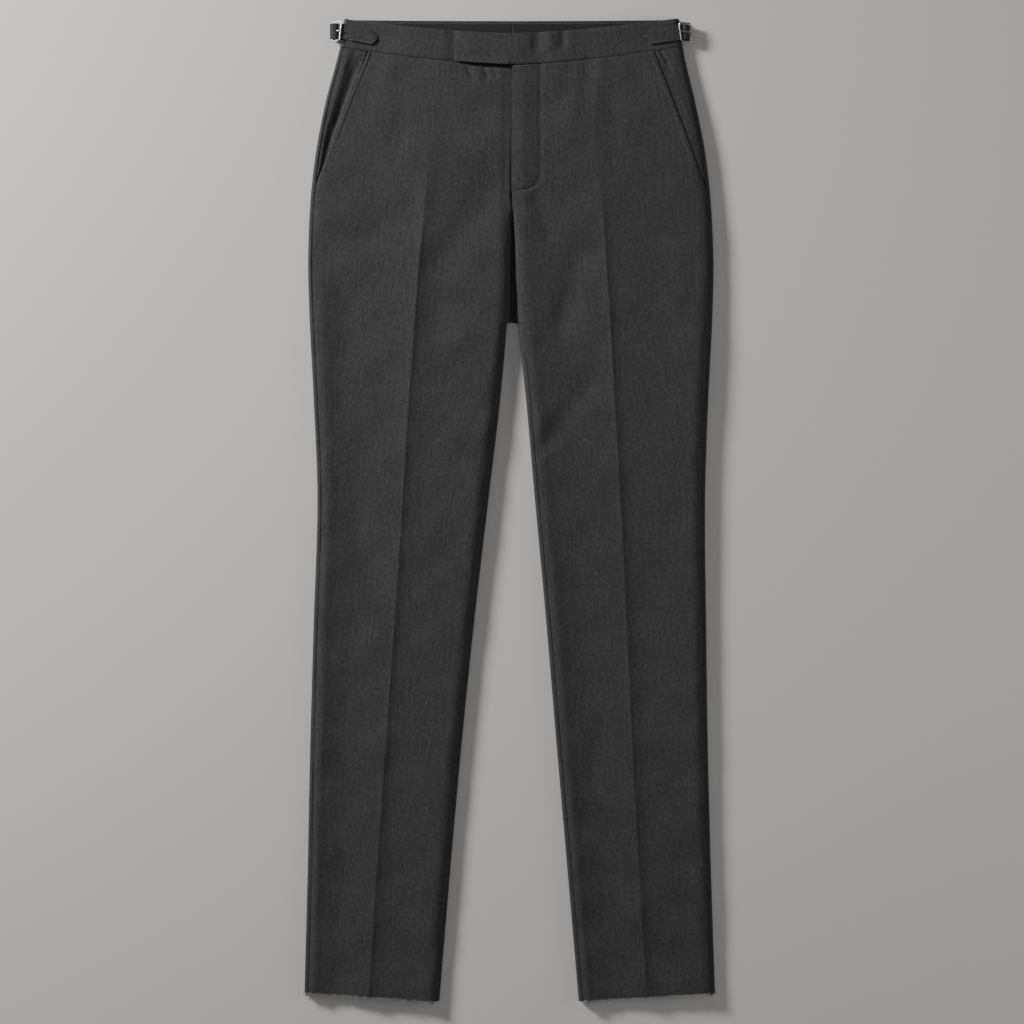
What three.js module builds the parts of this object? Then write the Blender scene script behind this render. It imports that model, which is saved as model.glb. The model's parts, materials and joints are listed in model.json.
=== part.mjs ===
// Flat-front dress trousers in wool flannel, lying on their back with the front up.
// Millimetres, +Z up. The waist points to +Y, and the wearer's right side lies towards -X.
// The back panels rest on the surface at z = 0 and wrap a little way round the side folds.
import * as THREE from 'three';

// ---- Driving dimensions ----------------------------------------------------------------

const CLOTH = 1.2;          // wall of one layer of flannel
const BAND = 2.0;           // waistband: cloth on canvas with a turned edge
const SEAM_GAP = 0.3;       // air between two pieces at a seam
const LAYER_GAP = 0.4;      // air between two pieces that lie on each other
const HEM_Y = -590;         // raw hem at the inseam
const HEM_RISE = 11;        // the hem climbs by this much towards the outseam
const WAIST_Y = 535;        // waist seam at the centre front
const WAIST_RISE = 21;      // the front waist seam climbs by this much to the side fold
const BACK_WAIST_LIFT = 15; // the back waist seam is this much higher at the centre
const HALF_WAIST = 200;     // centre to side fold along the waist seam
const CENTRE_X = 2.4;       // centre front seam, which is also the edge of the fly
const CROTCH_Y = 226;       // where the four seams meet
const CROTCH_Z = 2.9;       // top of the cloth at the bottom of the crotch valley
const SIDE_ROLL = 4;        // half width of the round side fold
const SEAM_INSET = 5.2;     // outseams and inseams lie this far inside the folds
const EDGE_ZONE = 12;       // strip beside the inner fold that has its own columns
const EDGE_EASE = 14;       // relief fades out over this much towards every fold
const EDGE_ROUND = 24;      // the +X side of each leg rounds off over this much

// Inner folds of the legs: half width of their roll, along the leg and at the crotch.
const LEG_ROLL = 4.2;
const CROTCH_ROLL = 5.5;
const ROLL_CHANGE = { from: 60, to: 220 };
const INSEAM_EMERGES = 165; // below this height the inseam lies on top of the leg
const INSEAM_TURN = 1.13;   // its place on the inner fold there, see innerFold
const TURN_GAP = 0.03;      // half the seam gap on that scale

// Pockets.
const MOUTH_LIFT = 1.0;     // the mouth's edge stands this far above the facing
const MOUTH_SPREAD = 25;    // the lift fades over this width
const FACING = 1.0;         // wall of the pocket facing and of the band's inside facing
const FACING_UNDERLAP = 12; // the pocket facing runs this far in under the mouth
const FACING_LOW = 398;     // height at which the mouth closes over the facing

// Fly: the left front laps over the right one.
const FLY_TOP = 528;
const FLY_BOTTOM = 392;
const FLY_LAP = 6.3;        // the right front runs this far under the left one
const FLY_LIFT = 1.2;
const FLY_WIDTH = 33.6;
const FLY_FOOT = { closed: 362, lifted: 380, lapped: 383 }; // heights over which the lap begins
const ZIP_WIDTH = 13.4;
const ZIP_THICK = 1.4;
const SHIELD_DEPTH = 2.25;  // top of the shield below the front's own height
const SHIELD_REACH = 12;    // the shield runs this far past the fly's edge to the right

// Waistband and its extension tab.
const BAND_TOP_Y = 572.7;   // top edge at the centre front
const BAND_TOP_RISE = 18;
const BACK_TOP_Y = 589.4;
const BACK_TOP_RISE = 1.3;
const BAND_PROUD = 0.5;     // the band stands this far above the panels below it
const TAB_END_X = -65.6;
const TAB_PROUD = BAND + LAYER_GAP + 0.2;
const TAB_EASE = { under: 13, over: 40 }; // widths over which the band sinks and climbs
const FACING_MARGIN = 4;    // the inside facing stops this far below the back's top edge

// Outline of each half, from hem to waist: side fold, pressed crease and inner fold.
const RIGHT = {
  side: -1,
  facingSag: 4.0,
  mouthTop: { x: -170, y: 550 },
  mouthEnd: { x: -225, y: 411 },
  rows: [
    { y: -590, fold: -247.3, crease: -170.0, inner: -84.8 },
    { y: -443, fold: -243.4, crease: -160.2, inner: -72.5 },
    { y: -287, fold: -240.2, crease: -149.5, inner: -58.5 },
    { y: -131, fold: -235.8, crease: -138.0, inner: -42.5 },
    { y: 13, fold: -231.4, crease: -128.5, inner: -25.7 },
    { y: 133, fold: -235.9, crease: -121.3, inner: -11.6 },
    { y: 229, fold: -240.8, crease: -114.0, inner: -3.3 },
    { y: 301, fold: -242.6, crease: -108.8, inner: 0.0 },
    { y: 373, fold: -239.8, crease: -101.2, inner: 1.0 },
    { y: 433, fold: -232.9, crease: -95.5, inner: 1.5 },
    { y: 493, fold: -221.2, crease: -92.7, inner: 1.5 },
    { y: 541, fold: -208.3, crease: -92.0, inner: 1.5 },
    { y: 573, fold: -201.0, crease: -92.0, inner: 1.5 },
    { y: 591, fold: -199.0, crease: -92.0, inner: 1.5 },
  ],
};
const LEFT = {
  side: 1,
  facingSag: 0.6,
  mouthTop: { x: 174, y: 548 },
  mouthEnd: { x: 233, y: 393 },
  rows: [
    { y: -590, fold: 247.3, crease: 165.0, inner: 83.0 },
    { y: -443, fold: 242.4, crease: 155.8, inner: 70.3 },
    { y: -287, fold: 238.4, crease: 147.2, inner: 56.7 },
    { y: -131, fold: 236.2, crease: 140.2, inner: 43.5 },
    { y: 13, fold: 235.0, crease: 132.8, inner: 30.2 },
    { y: 133, fold: 238.8, crease: 125.8, inner: 19.6 },
    { y: 229, fold: 243.5, crease: 120.4, inner: 10.0 },
    { y: 301, fold: 245.0, crease: 115.5, inner: 4.7 },
    { y: 373, fold: 241.6, crease: 110.9, inner: 3.9 },
    { y: 433, fold: 234.6, crease: 105.7, inner: 3.3 },
    { y: 493, fold: 222.6, crease: 100.4, inner: 3.3 },
    { y: 541, fold: 211.2, crease: 97.0, inner: 3.3 },
    { y: 573, fold: 205.5, crease: 96.0, inner: 3.3 },
    { y: 591, fold: 203.7, crease: 96.0, inner: 3.3 },
  ],
};

// Heights of the top layer: at the side fold, on the crease and at the inner edge, how far the
// inner edge dives at the crotch, the sag of the panels, and the drop on the crease's +X side.
const LOFT = [
  { y: -590, fold: 7.5, crease: 12.7, inner: 7.5, valley: 0, sag: 3, ridge: 4.6 },
  { y: -290, fold: 7.5, crease: 13.4, inner: 7.5, valley: 0, sag: 3.4, ridge: 4.9 },
  { y: 0, fold: 8, crease: 14.8, inner: 8.5, valley: 0, sag: 3.1, ridge: 4.9 },
  { y: 200, fold: 9, crease: 16.2, inner: 9.5, valley: 1, sag: 2.5, ridge: 4.8 },
  { y: 300, fold: 9.5, crease: 16.5, inner: 10.5, valley: 1, sag: 1.6, ridge: 4.3 },
  { y: 335, fold: 9.5, crease: 16, inner: 11.5, valley: 0.85, sag: 1.2, ridge: 3.5 },
  { y: 376, fold: 9.5, crease: 15.5, inner: 12, valley: 0, sag: 0.9, ridge: 2.6 },
  { y: 480, fold: 9.5, crease: 14, inner: 12, valley: 0, sag: 0.5, ridge: 1.3 },
  { y: 540, fold: 9.5, crease: 12.5, inner: 12, valley: 0, sag: 0, ridge: 0.3 },
  { y: 591, fold: 9.5, crease: 11.5, inner: 11.5, valley: 0, sag: 0, ridge: 0 },
];

// The largest soft folds: each runs from one point to another, and a minus depth is a trough.
const FOLDS = [
  { x1: 40, y1: 76, x2: 100, y2: 160, width: 15, depth: -1.8 },
  { x1: 64, y1: 232, x2: 82, y2: 300, width: 16, depth: -2.6 },
  { x1: -84, y1: 300, x2: -20, y2: 392, width: 20, depth: -2.4 },
  { x1: -172, y1: 322, x2: -117, y2: 366, width: 18, depth: -1.7 },
  { x1: -186, y1: 470, x2: -160, y2: 540, width: 16, depth: -0.9 },
  { x1: 126, y1: 420, x2: 118, y2: 530, width: 13, depth: -1 },
  { x1: 170, y1: 300, x2: 190, y2: 200, width: 20, depth: -1.2 },
  { x1: -190, y1: 250, x2: -206, y2: 130, width: 20, depth: -1.2 },
  { x1: -200, y1: 20, x2: -160, y2: -90, width: 16, depth: -1.2 },
  { x1: 200, y1: -10, x2: 165, y2: -120, width: 16, depth: -1.2 },
];

// ---- Small helpers -----------------------------------------------------------------------

const mix = (a, b, share) => a + (b - a) * share;
const clamp = (value, low, high) => Math.min(Math.max(value, low), high);
const smooth = (low, high, value) => {
  const share = clamp((value - low) / (high - low), 0, 1);
  return share * share * (3 - 2 * share);
};
const steps = (from, to, count) =>
  Array.from({ length: count + 1 }, (_, index) => mix(from, to, index / count));

// Value of one column of a table at height y, on a smooth curve through its rows.
function along(rows, column, y) {
  const last = rows.length - 1;
  const place = clamp(y, rows[0].y, rows[last].y);
  let low = 0;
  while (low < last - 1 && rows[low + 1].y < place) low += 1;
  const slope = (index) => {
    const before = rows[Math.max(index - 1, 0)];
    const after = rows[Math.min(index + 1, last)];
    return (after[column] - before[column]) / (after.y - before.y);
  };
  const span = rows[low + 1].y - rows[low].y;
  const t = (place - rows[low].y) / span;
  const bend = t * t * (3 - 2 * t);
  const start = slope(low) * span * (t * (1 - t) * (1 - t));
  const end = slope(low + 1) * span * (t * t * (t - 1));
  return mix(rows[low][column], rows[low + 1][column], bend) + start + end;
}

// A closed solid from a grid of outer points and the inner points behind them.
function solid(name, material, rows, columns, pointPair) {
  const positions = [];
  for (const layer of [0, 1]) {
    for (let i = 0; i < rows; i += 1) {
      for (let j = 0; j < columns; j += 1) positions.push(...pointPair(i, j)[layer]);
    }
  }
  const outer = (i, j) => i * columns + j;
  const inner = (i, j) => rows * columns + i * columns + j;
  const faces = [];
  const quad = (a, b, c, d) => faces.push(a, b, c, a, c, d);
  for (let i = 0; i < rows - 1; i += 1) {
    for (let j = 0; j < columns - 1; j += 1) {
      quad(outer(i, j), outer(i, j + 1), outer(i + 1, j + 1), outer(i + 1, j));
      quad(inner(i, j), inner(i + 1, j), inner(i + 1, j + 1), inner(i, j + 1));
    }
    const end = columns - 1;
    quad(outer(i, 0), outer(i + 1, 0), inner(i + 1, 0), inner(i, 0));
    quad(outer(i, end), inner(i, end), inner(i + 1, end), outer(i + 1, end));
  }
  for (let j = 0; j < columns - 1; j += 1) {
    const end = rows - 1;
    quad(outer(0, j), inner(0, j), inner(0, j + 1), outer(0, j + 1));
    quad(outer(end, j), outer(end, j + 1), inner(end, j + 1), inner(end, j));
  }
  return meshFrom(name, material, positions, faces);
}

// Makes the mesh and turns its faces outwards.
function meshFrom(name, material, positions, faces) {
  const at = (index) => new THREE.Vector3().fromArray(positions, index * 3);
  let volume = 0;
  for (let k = 0; k < faces.length; k += 3) {
    volume += at(faces[k]).dot(at(faces[k + 1]).cross(at(faces[k + 2])));
  }
  const index = volume < 0 ? [...faces].reverse() : faces;
  const geometry = new THREE.BufferGeometry();
  geometry.setAttribute('position', new THREE.Float32BufferAttribute(positions, 3));
  geometry.setIndex(index);
  geometry.computeVertexNormals();
  const mesh = new THREE.Mesh(geometry, material);
  mesh.name = name;
  return mesh;
}

// ---- Form of the garment -----------------------------------------------------------------
// u runs across one half towards the centre: u = -side * x, so the side fold has the lowest u.

const foldU = (half, y) => -half.side * along(half.rows, 'fold', y);
const creaseU = (half, y) => -half.side * along(half.rows, 'crease', y);
const innerU = (half, y) => -half.side * along(half.rows, 'inner', y);
const centreU = (half) => -half.side * CENTRE_X;

function foldRelief(x, y) {
  let relief = 0;
  for (const fold of FOLDS) {
    const dx = fold.x2 - fold.x1;
    const dy = fold.y2 - fold.y1;
    const share = clamp(((x - fold.x1) * dx + (y - fold.y1) * dy) / (dx * dx + dy * dy), 0, 1);
    const away = Math.hypot(x - fold.x1 - share * dx, y - fold.y1 - share * dy) / fold.width;
    relief += fold.depth * Math.exp(-away * away);
  }
  return relief;
}

const bump = (distance, width) => Math.exp(-((distance / width) ** 2));

// Height of a leg's side fold or inner fold. The edges towards -X stand a little higher.
function edgeTop(half, edge, y) {
  const raised = (edge === 'fold') === (half === RIGHT);
  return along(LOFT, edge, y) + (raised ? 0.55 * along(LOFT, 'sag', y) : 0);
}

// Height of the top layer before anything laps over anything. The pressed crease falls away
// slowly towards -X and steeply towards +X, and each panel sags between crease and edge.
function baseHeight(half, u, y) {
  const crease = creaseU(half, y);
  const outside = u < crease;
  const edge = outside ? foldU(half, y) : innerU(half, y);
  const low = edgeTop(half, outside ? 'fold' : 'inner', y);
  const far = Math.abs(u - crease);
  const share = clamp(far / Math.abs(edge - crease), 0, 1);
  const rise = along(LOFT, 'crease', y) - low;
  const sag = along(LOFT, 'sag', y);
  const fromEdge = Math.abs(edge - u);
  const inset = smooth(0, EDGE_EASE, fromEdge);
  const soft = foldRelief(-half.side * u, y) * inset;
  const softCrest = smooth(330, 470, y);
  const away = Math.hypot(far, 9 * softCrest) - 9 * softCrest;
  if (outside !== (half === RIGHT)) {
    const ridge = Math.min(along(LOFT, 'ridge', y), rise);
    const drop = ridge * (1 - Math.exp(-away / mix(11, 22, softCrest)));
    const rounded = 1 - (1 - clamp(fromEdge / EDGE_ROUND, 0, 1)) ** 2.2;
    return low + (rise - drop + 0.016 * sag * away) * rounded + soft;
  }
  const pressed = rise * (0.3 * Math.exp(-away / 9) + 0.7 * Math.exp(-away / 38));
  const leg = mix(rise * (1 - share * share), pressed, smooth(520, 340, y));
  const hollow = 0.55 * smooth(0.05, 0.5, share) * (1 - smooth(0.5, 0.78, share));
  return low + (leg - sag * hollow + 0.62 * sag * bump(share - 0.87, 0.09)) * inset + soft;
}

const mouthU = (half, y) => {
  const { mouthTop: top, mouthEnd: end } = half;
  return -half.side * mix(end.x, top.x, (y - end.y) / (top.y - end.y));
};
const seamU = (half, y) => foldU(half, y) + SEAM_INSET;
const frontStartU = (half, y) => Math.max(seamU(half, y) + SEAM_GAP, mouthU(half, y));

const flyShare = (y) => smooth(FLY_FOOT.closed, FLY_FOOT.lifted, y);

// Height of the front panel, with the pocket mouth and the fly lifted over what they cover.
function frontHeight(half, u, y) {
  const mouth = mouthU(half, y);
  const open = smooth(0, 20, mouth - seamU(half, y));
  const pocket = MOUTH_LIFT * open * Math.exp(-Math.max(u - mouth, 0) / MOUTH_SPREAD);
  const toCentre = centreU(half) - u;
  const near = 1 - smooth(10, FLY_WIDTH, toCentre);
  const underNear = 1 - smooth(0, 20, toCentre);
  const fly = half === LEFT ? (FLY_LIFT + 0.3) * near : (FLY_LIFT - CLOTH - LAYER_GAP - 0.5) * underNear;
  return baseHeight(half, u, y) + pocket + fly * flyShare(y);
}

// Inner fold of a leg: turn -1 is its lowest point, 0 its outermost, 1 its top, 2 the edge zone.
function innerFold(half, turn, y) {
  const u = innerU(half, y);
  const top = edgeTop(half, 'inner', y);
  const near = smooth(ROLL_CHANGE.from, ROLL_CHANGE.to, y);
  const middle = mix(top / 2, CROTCH_Z, near);
  const roll = mix(LEG_ROLL, CROTCH_ROLL, near);
  if (turn > 1) {
    const place = mix(u - roll, u - EDGE_ZONE, turn - 1);
    return [place, baseHeight(half, place, y)];
  }
  const angle = turn * Math.PI / 2;
  const reach = turn > 0 ? top - middle : middle;
  return [u - roll + roll * Math.cos(angle), middle + reach * Math.sin(angle)];
}

// The inseam starts under the fold at the crotch and climbs on to the top of the leg.
const inseamTurn = (y) => mix(INSEAM_TURN, 0, smooth(INSEAM_EMERGES, CROTCH_Y - 3, y));

// Above the crotch the front dives into the valley and ends at the centre front seam.
function valley(half, share, y) {
  const u = innerU(half, y);
  const start = u - EDGE_ZONE;
  const under = half === RIGHT && y > FLY_FOOT.lapped ? FLY_LAP : 0;
  const end = centreU(half) - SEAM_GAP / 2 + under;
  const high = frontHeight(half, start, y);
  const flat = frontHeight(half, end, y);
  const low = mix(flat, CROTCH_Z, clamp(along(LOFT, 'valley', y), 0, 1));
  const ends = [[start, high], [u + 0.5, mix(high, flat, 0.6)], [u - 1.5, low], [end, low]];
  const left = 1 - share;
  const weights = [left ** 3, 3 * left * left * share, 3 * left * share * share, share ** 3];
  return [0, 1].map((axis) => weights.reduce((sum, w, k) => sum + w * ends[k][axis], 0));
}

// Outer line of the front panel: 0 to 1 side to crease, 1 to 2 crease to edge zone, 2 to 3 inner.
function frontLine(half, place, y) {
  const crease = creaseU(half, y);
  if (place <= 1) {
    const u = mix(frontStartU(half, y), crease, place);
    return [u, frontHeight(half, u, y)];
  }
  if (place <= 2) {
    const u = mix(crease, innerU(half, y) - EDGE_ZONE, place - 1);
    return [u, frontHeight(half, u, y)];
  }
  if (y > CROTCH_Y) return valley(half, place - 2, y);
  return innerFold(half, mix(2, inseamTurn(y) + TURN_GAP, place - 2), y);
}

// Outer line of the back panel: 0 to 1 inner edge, 1 to 2 underside, 2 to 3 side fold, 3 to 4 wrap.
function backLine(half, place, y) {
  const side = foldU(half, y) + SIDE_ROLL;
  const inside = innerU(half, y) - EDGE_ZONE;
  const top = edgeTop(half, 'fold', y);
  if (place <= 1 && y > CROTCH_Y) return [mix(centreU(half) - SEAM_GAP / 2, inside, place), 0];
  if (place <= 0.8) {
    return innerFold(half, mix(inseamTurn(y) - TURN_GAP, -1, place / 0.8), y);
  }
  if (place <= 1) return [mix(innerFold(half, -1, y)[0], inside, (place - 0.8) / 0.2), 0];
  if (place <= 2) return [mix(inside, side, place - 1), 0];
  if (place <= 3) {
    const angle = (place - 2.5) * Math.PI;
    return [side - SIDE_ROLL * Math.cos(angle), top / 2 * (1 + Math.sin(angle))];
  }
  const u = mix(side, seamU(half, y), place - 3);
  return [u, baseHeight(half, u, y)];
}

// Turns a line of one half into an outer and an inner point of the wall.
function wallPair(half, line, place, last, y, thick) {
  const step = 0.004;
  const [u, z] = line(half, place, y);
  const [u0, z0] = line(half, Math.max(place - step, 0), y);
  const [u1, z1] = line(half, Math.min(place + step, last), y);
  const length = Math.hypot(u1 - u0, z1 - z0);
  const across = -(z1 - z0) / length;
  const up = (u1 - u0) / length;
  const outer = [-half.side * u, y, z];
  const inner = [-half.side * (u - thick * across), y, z - thick * up];
  return [outer, inner];
}

// Rows run level in the middle and follow the hem and the waist seam at the ends.
const LEVELS = [
  ...steps(HEM_Y, 150, 14), 176, 202, CROTCH_Y - 3, CROTCH_Y + 3, 258, 292, 330, 358, 382, 386,
  ...steps(412, WAIST_Y, 5),
];

function rowY(level, x, share, centreLift) {
  const height = (level - HEM_Y) / (WAIST_Y - HEM_Y);
  const out = Math.abs(x) / HALF_WAIST;
  const waist = height ** 4 * WAIST_RISE * out ** 1.5;
  const lift = centreLift * height ** 16 * clamp(1 - out * out, 0, 1);
  return level + (1 - height) ** 4 * HEM_RISE * (1 - share) + waist + lift;
}

const FRONT_PLACES = [
  0, 0.1, 0.26, 0.44, 0.62, 0.78, 0.9, 1, 1.1, 1.22, 1.38, 1.56, 1.75, 1.9, 2,
  2.2, 2.4, 2.6, 2.8, 3,
];
const BACK_PLACES = [0, 0.2, 0.4, 0.6, 0.8, 1, 1.33, 1.66, 2, 2.17, 2.33, 2.5, 2.67, 2.83, 3, 4];

// Share of the way from the side fold to the inner fold, for the slope of the hem.
function crossShare(half, u, y) {
  return clamp((u - foldU(half, y)) / (innerU(half, y) - foldU(half, y)), 0, 1);
}

// The row's height at one place of a line, found in a few rounds because x depends on it.
function settledY(half, line, place, level, centreLift) {
  let y = level;
  for (let round = 0; round < 4; round += 1) {
    const [u] = line(half, place, y);
    y = rowY(level, -half.side * u, crossShare(half, u, y), centreLift);
  }
  return y;
}

function panel(name, material, half, line, places, centreLift) {
  const last = places[places.length - 1];
  return solid(name, material, LEVELS.length, places.length, (i, j) => {
    const y = settledY(half, line, places[j], LEVELS[i], centreLift);
    return wallPair(half, line, places[j], last, y, CLOTH);
  });
}

// ---- Layers that lie on or under the panels -----------------------------------------------

// A layer between two edges in x and two edges in y, its top at height(x, y).
function layer(name, material, { xAt, yAt, height, thick, columns, rows }) {
  return solid(name, material, rows, columns.length, (i, j) => {
    const share = i / (rows - 1);
    let x = xAt(columns[j], yAt(0, share));
    let y = yAt(x, share);
    x = xAt(columns[j], y);
    y = yAt(x, share);
    const z = height(x, y);
    return [[x, y, z], [x, y, z - thick]];
  });
}

const frontWaist = (x) => WAIST_Y + WAIST_RISE * (Math.abs(x) / HALF_WAIST) ** 1.5;
const bandTop = (x) => BAND_TOP_Y + BAND_TOP_RISE * (Math.abs(x) / HALF_WAIST) ** 1.5;
const backTop = (x) => BACK_TOP_Y + BACK_TOP_RISE * (x / HALF_WAIST) ** 2;

// Columns 0 to 1 show outside the mouth, and the rest are millimetres in under the front.
function pocketFacing(name, material, half) {
  const columns = [0, 0.2, 0.4, 0.6, 0.8, 1, 1 + FACING_UNDERLAP / 2, 1 + FACING_UNDERLAP];
  const spot = (column, y) => {
    const seam = seamU(half, y) + 2 * SEAM_GAP;
    const mouth = Math.max(mouthU(half, y), seam + 1);
    return column <= 1 ? mix(seam, mouth, column) : mouth + column - 1;
  };
  const heightAt = (column, u, y) => {
    const below = frontHeight(half, u, y) - CLOTH - LAYER_GAP - 0.1;
    const sag = half.facingSag * smooth(0, 22, mouthU(half, y) - seamU(half, y));
    const level = mix(baseHeight(half, u, y), below, smooth(0.35, 1, column));
    return level - sag * smooth(0.05, 0.85, column);
  };
  const rows = 7;
  return solid(name, material, rows, columns.length, (i, j) => {
    const share = i / (rows - 1);
    const waist = frontWaist(spot(columns[j], half.mouthTop.y));
    const y = mix(FACING_LOW, waist - 1.5, share);
    const u = spot(columns[j], y);
    const x = -half.side * u;
    const z = heightAt(columns[j], u, y);
    return [[x, y, z], [x, y, z - FACING]];
  });
}

function frontBandRight(material) {
  const columns = steps(0, 1, 14);
  return layer('waistband_front_right', material, {
    columns, rows: 4, thick: BAND,
    xAt: (c, y) => mix(seamU(RIGHT, y) + SEAM_GAP, CENTRE_X + FLY_LAP, c),
    yAt: (x, share) => mix(frontWaist(x) + SEAM_GAP, bandTop(x), share),
    height: (x, y) => {
      const half = x < CENTRE_X ? RIGHT : LEFT;
      const covered = smooth(TAB_END_X - 1 - TAB_EASE.under, TAB_END_X - 1, x);
      return baseHeight(half, -half.side * x, y) + mix(BAND_PROUD, 0, covered);
    },
  });
}

function frontBandLeft(material) {
  const columns = [...steps(0, 1, 4), ...steps(2, 3, 14)];
  const tabRoot = CENTRE_X - 1;
  return layer('waistband_front_left', material, {
    columns, rows: 4, thick: BAND,
    xAt: (c, y) => {
      if (c <= 1) return mix(TAB_END_X, tabRoot, c);
      return mix(CENTRE_X - SEAM_GAP, -seamU(LEFT, y) - SEAM_GAP, c - 2);
    },
    yAt: (x, share) => mix(frontWaist(x) + SEAM_GAP, bandTop(x), share),
    height: (x, y) => {
      const half = x < CENTRE_X ? RIGHT : LEFT;
      const tab = 1 - smooth(CENTRE_X + FLY_LAP + 2, TAB_EASE.over, x);
      return baseHeight(half, -half.side * x, y) + mix(BAND_PROUD, TAB_PROUD, tab);
    },
  });
}

function backBand(name, material, half) {
  const rows = 3;
  return solid(name, material, rows, BACK_PLACES.length, (i, j) => {
    const place = BACK_PLACES[j];
    const low = settledY(half, backLine, place, WAIST_Y, BACK_WAIST_LIFT) + SEAM_GAP;
    const [u] = backLine(half, place, BACK_TOP_Y);
    const y = mix(low, backTop(u), i / (rows - 1));
    const [outer, inner] = wallPair(half, backLine, place, 4, y, BAND);
    // The short return over the fold ends in an upright face.
    return [outer, place < 3 ? inner : [outer[0], y, outer[2] - BAND]];
  });
}

function bandFacing(name, material, half) {
  const columns = steps(0, 1, 5);
  return layer(name, material, {
    columns, rows: 3, thick: FACING,
    xAt: (c, y) => {
      const inside = foldU(half, y) + 2 * SIDE_ROLL + 1;
      return -half.side * mix(inside, centreU(half) - SEAM_GAP / 2, c);
    },
    yAt: (x, share) => mix(WAIST_Y + BACK_WAIST_LIFT + 3, backTop(x) - FACING_MARGIN, share),
    height: () => BAND + LAYER_GAP + FACING,
  });
}

// The zip runs beside the edge of the right front, and the shield backs both.
function flyZip(material) {
  return layer('fly_zip', material, {
    columns: steps(0, 1, 3), rows: 8, thick: ZIP_THICK,
    xAt: (c) => CENTRE_X + FLY_LAP + SEAM_GAP + c * ZIP_WIDTH,
    yAt: (x, share) => mix(FLY_BOTTOM, FLY_TOP, share),
    height: (x, y) => frontHeight(LEFT, -x, y) - CLOTH - LAYER_GAP,
  });
}

function flyShield(material) {
  return layer('fly_shield', material, {
    columns: steps(0, 1, 6), rows: 8, thick: FACING,
    xAt: (c) => mix(CENTRE_X - SHIELD_REACH, CENTRE_X + FLY_WIDTH, c),
    yAt: (x, share) => mix(FLY_BOTTOM - 2, FLY_TOP, share),
    height: (x, y) => {
      const half = x < CENTRE_X ? RIGHT : LEFT;
      return baseHeight(half, -half.side * x, y) - SHIELD_DEPTH;
    },
  });
}

// ---- Side adjusters ------------------------------------------------------------------------

const STRAP_THICK = 1.4;
const STRAP_WIDTH = 19;
const STRAP_LOW = 2.4;      // middle of the strap where it leaves the side of the back band
const TIP_LENGTH = 8;
const TIP_WIDTH = 2;
const WIRE = 0.9;           // radius of the buckle's wire
const BUCKLE_LENGTH = 22.2; // between the middles of its two arms
const BUCKLE_CORNER = 1.6;
const PRONG = 0.6;

// Distances from the middle of the garment, except z: high is the strap's middle where it comes
// back in, and the bend is its outermost point.
const ADJUSTERS = {
  right: {
    half: RIGHT, y: 575.5, slope: -0.195, tip: 158.6,
    high: 10.4, bend: 216.5, outerBar: 213.4, outerBarZ: 6.0, innerBar: 203, innerBarZ: 12.8,
    prongStart: 207.6,
  },
  left: {
    half: LEFT, y: 574.2, slope: -0.145, tip: 160.6,
    high: 11.5, bend: 216.4, outerBar: 218.0, outerBarZ: 9.3, innerBar: 204.5, innerBarZ: 13.6,
    prongStart: 218.6,
  },
};

// Middle line of a strap: out from the side of the back band, round and back over the front.
function strapRoute({ half, y, tip, high, bend }) {
  const fold = -foldU(half, y);
  const radius = (high - STRAP_LOW) / 2;
  const centre = bend - STRAP_THICK / 2 - radius;
  const route = [[fold + 0.15, STRAP_LOW], [centre, STRAP_LOW]];
  for (const angle of steps(-60, 60, 4)) {
    const turn = angle * Math.PI / 180;
    const z = STRAP_LOW + radius * (1 + Math.sin(turn));
    route.push([centre + radius * Math.cos(turn), z]);
  }
  route.push([centre, high]);
  for (const reach of [...steps(fold - 4, tip + TIP_LENGTH, 4), tip]) {
    const lift = BAND_PROUD + 0.38 + STRAP_THICK / 2;
    route.push([reach, baseHeight(half, -reach, y) + lift]);
  }
  return route;
}

function adjusterStrap(name, material, adjuster) {
  const route = strapRoute(adjuster);
  const { half, y, slope } = adjuster;
  const last = route.length - 1;
  const columns = [-1, 0, 1];
  return solid(name, material, route.length, columns.length, (i, j) => {
    const before = route[Math.max(i - 1, 0)];
    const after = route[Math.min(i + 1, last)];
    const length = Math.hypot(after[0] - before[0], after[1] - before[1]);
    const out = (after[1] - before[1]) / length;
    const up = -(after[0] - before[0]) / length;
    const width = i === last ? TIP_WIDTH : STRAP_WIDTH;
    const inward = Math.max(-foldU(half, y) - route[i][0], 0);
    const across = y + slope * inward + columns[j] * width / 2;
    const skew = i < 2 ? foldU(half, y) - foldU(half, across) : 0;
    return [1, -1].map((face) => {
      const away = face * STRAP_THICK / 2;
      const reach = route[i][0] + skew + away * out;
      return [half.side * reach, across, route[i][1] + away * up];
    });
  });
}

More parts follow.
